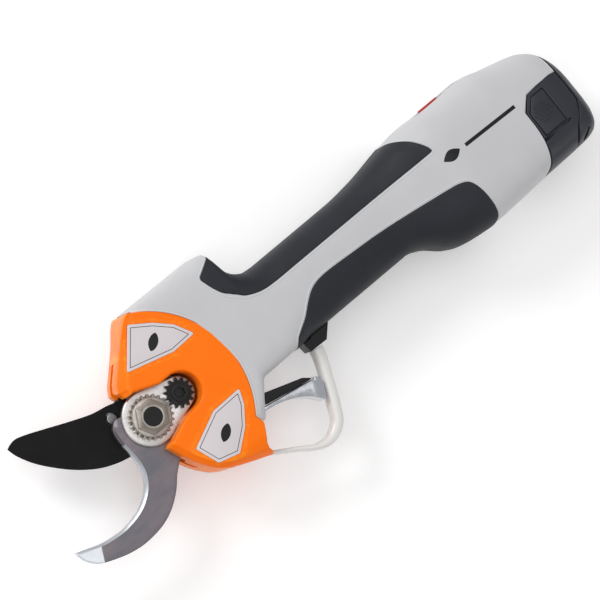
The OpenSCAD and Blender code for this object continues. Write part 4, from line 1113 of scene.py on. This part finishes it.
def pack():
    """The pack's skin with the latches' openings and the groove above each, and its plain casing."""
    right = pack_skin()
    both = merged(right, mirrored(*right))
    skin_obj = mesh_object(
        "battery_shell_skin", *both, "battery_plastic", "battery", ["battery_shell"], angle=45
    )
    hole = counter_clockwise(LATCH)
    hole = hole - normals(hole) * 0.3
    groove = [(214.6, -18.3), (230.8, -17.7), (231.4, -17), (230.8, -16.5), (214.6, -16.5)]
    for z0, z1, g0, g1 in ((22.2, 27, 23.6, 27), (-27, -22.2, -27, -23.6)):
        cut(skin_obj, prism(hole, z0, z1, 0, 0))
        cut(skin_obj, prism(groove, g0, g1, 0, 0))
    box = casing(PACK_FRONT, PACK_REAR, PACK_LOW, PACK_HIGH, 9.5, 0.8)
    mesh_object("battery_shell_casing", *box, "battery_plastic", "battery", angle=45)


pack()


def end_cap():
    """Domed rear cap: rings of the skin from the seam to the flat end."""
    angles = np.linspace(-90, 90, 61)
    start = cap_border(skin(239.2, angles)[:, 1]) + 0.3
    rows = []
    for t in (0, 0.02, 0.05, 0.12, 0.25, 0.4, 0.55, 0.68, 0.8, 0.9, 0.96, 1):
        x = start + (REAR - 0.05 - start) * t
        rows.append(skin(x, angles, {0: 0.55, 0.02: 0.2}.get(t, 0.1)))
    outer = np.array(rows)
    half = outer.reshape(-1, 3)
    n = len(angles)
    faces = grid_faces(len(rows), n)
    parts = [(half, faces), mirrored(half, faces)]
    last = outer[-1]
    ring = np.concatenate([last, (last * [1, 1, -1])[-2:0:-1]])
    parts.append((ring, [tuple(range(len(ring)))]))
    first = skin(start, angles, 2.6)
    inner = np.concatenate([outer[0], first])
    wall = [(i, i + 1, i + 1 + n, i + n) for i in range(n - 1)]
    parts += [(inner, wall), mirrored(inner, wall)]
    close = np.concatenate([first, (first * [1, 1, -1])[-2:0:-1]])
    middle = close.mean(0)
    fan = [(i, (i + 1) % len(close), len(close)) for i in range(len(close))]
    parts.append((np.vstack([close, middle]), fan))
    cap = mesh_object(
        "battery_end_cap_dome", *merged(*parts), "battery_plastic", "battery", ["battery_end_cap"], angle=40
    )
    slot = [(231.6, -28.6), (232.3, -29.2), (237, -25.9), (236.4, -25.2)]
    cut(cap, prism(slot, 14, 26, 0, 0), prism(slot, -26, -14, 0, 0))


end_cap()


def latch(side):
    """Button with a round field of raised dots; the finger groove beside it is cut in the pack's skin."""
    top = PACK_HALF - 0.02
    button = prism(round_corners(LATCH, 0.5, 3), 23.4, top, 0.35, 0.1)
    dots = []
    centre = np.array((223.2, -6.8))
    for i in range(-3, 4):
        for j in range(-3, 4):
            spot = np.array((i * 2.1 + (1.05 if j % 2 else 0), j * 1.9))
            if np.hypot(*spot) < 5:
                dots.append(prism(circle(centre + spot, 0.62, 14), top - 0.1, top + 0.55, 0.35, 0))
    name = sided(side, "latch")
    whole = merged(button, *dots)
    mesh_object(name + "_button", *whole, "battery_plastic", name + "_body", [name], 35, side < 0)


for side in (1, -1):
    latch(side)

# ---- Floor, light and camera ----


def studio():
    """White floor and even white light."""
    floor_mesh = bpy.data.meshes.new("floor")
    corners = [(-4, -4, -0.0006), (4, -4, -0.0006), (4, 4, -0.0006), (-4, 4, -0.0006)]
    floor_mesh.from_pydata(corners, [], [(0, 1, 2, 3)])
    floor = bpy.data.objects.new("floor", floor_mesh)
    bpy.context.scene.collection.objects.link(floor)
    paper = Nodes("floor_paper")
    cloud = paper.ramp(paper.noise(3, 2), 0.3, 0.7)
    paper.colour(paper.mix(cloud, [0.93, 0.93, 0.93, 1], [0.95, 0.95, 0.95, 1]))
    paper.set("Roughness", 0.9)
    paper.set("Emission Color", (1, 1, 1, 1))
    paper.set("Emission Strength", 0.2)
    paper.set("Specular IOR Level", 0.1)
    floor_mesh.materials.append(paper.material)
    world = bpy.data.worlds.new("studio")
    world.use_nodes = True
    sky = world.node_tree.nodes["Background"].inputs
    sky["Color"].default_value = (1, 1, 1, 1)
    sky["Strength"].default_value = 0.5
    bpy.context.scene.world = world


# The directions to the camera's right and from the tool to the camera
RIGHT = Vector((0.7415, -0.6282, 0.2356))
TOWARDS = Vector((-0.249, 0.068, 0.966))


def lamp(name, place, aim, size, power):
    light = bpy.data.lights.new(name, "AREA")
    light.shape = "DISK"
    light.size = size
    light.energy = power
    obj = bpy.data.objects.new(name, light)
    obj.location = place
    obj.rotation_euler = (aim - place).to_track_quat("-Z", "Y").to_euler()
    bpy.context.scene.collection.objects.link(obj)


def camera():
    """Camera that frames the whole tool, and three lamps placed round its view."""
    target = Vector(at((88.0, -3.2, 0))[0])
    away = TOWARDS.normalized()
    side = (RIGHT - away * RIGHT.dot(away)).normalized()
    up = away.cross(side)
    reach, field = 2.4, 0.2662
    cam = bpy.data.cameras.new("camera")
    cam.lens = cam.sensor_width * reach / field
    cam.clip_end = 20
    obj = bpy.data.objects.new("camera", cam)
    turn = Matrix((side, up, away)).transposed().to_4x4()
    obj.matrix_world = Matrix.Translation(target + away * reach) @ turn
    bpy.context.scene.collection.objects.link(obj)
    bpy.context.scene.camera = obj
    lamp("key", target - side * 0.75 + up * 0.7 + away * 1.0, target, 0.6, 9)
    lamp("top", target + away * 1.6 + up * 0.2, target, 1.4, 6.5)
    lamp("rim", target + side * 1.1 - up * 0.5 + away * 0.5, target, 0.6, 1.5)


studio()
camera()
bpy.context.scene.view_settings.view_transform = "Standard"
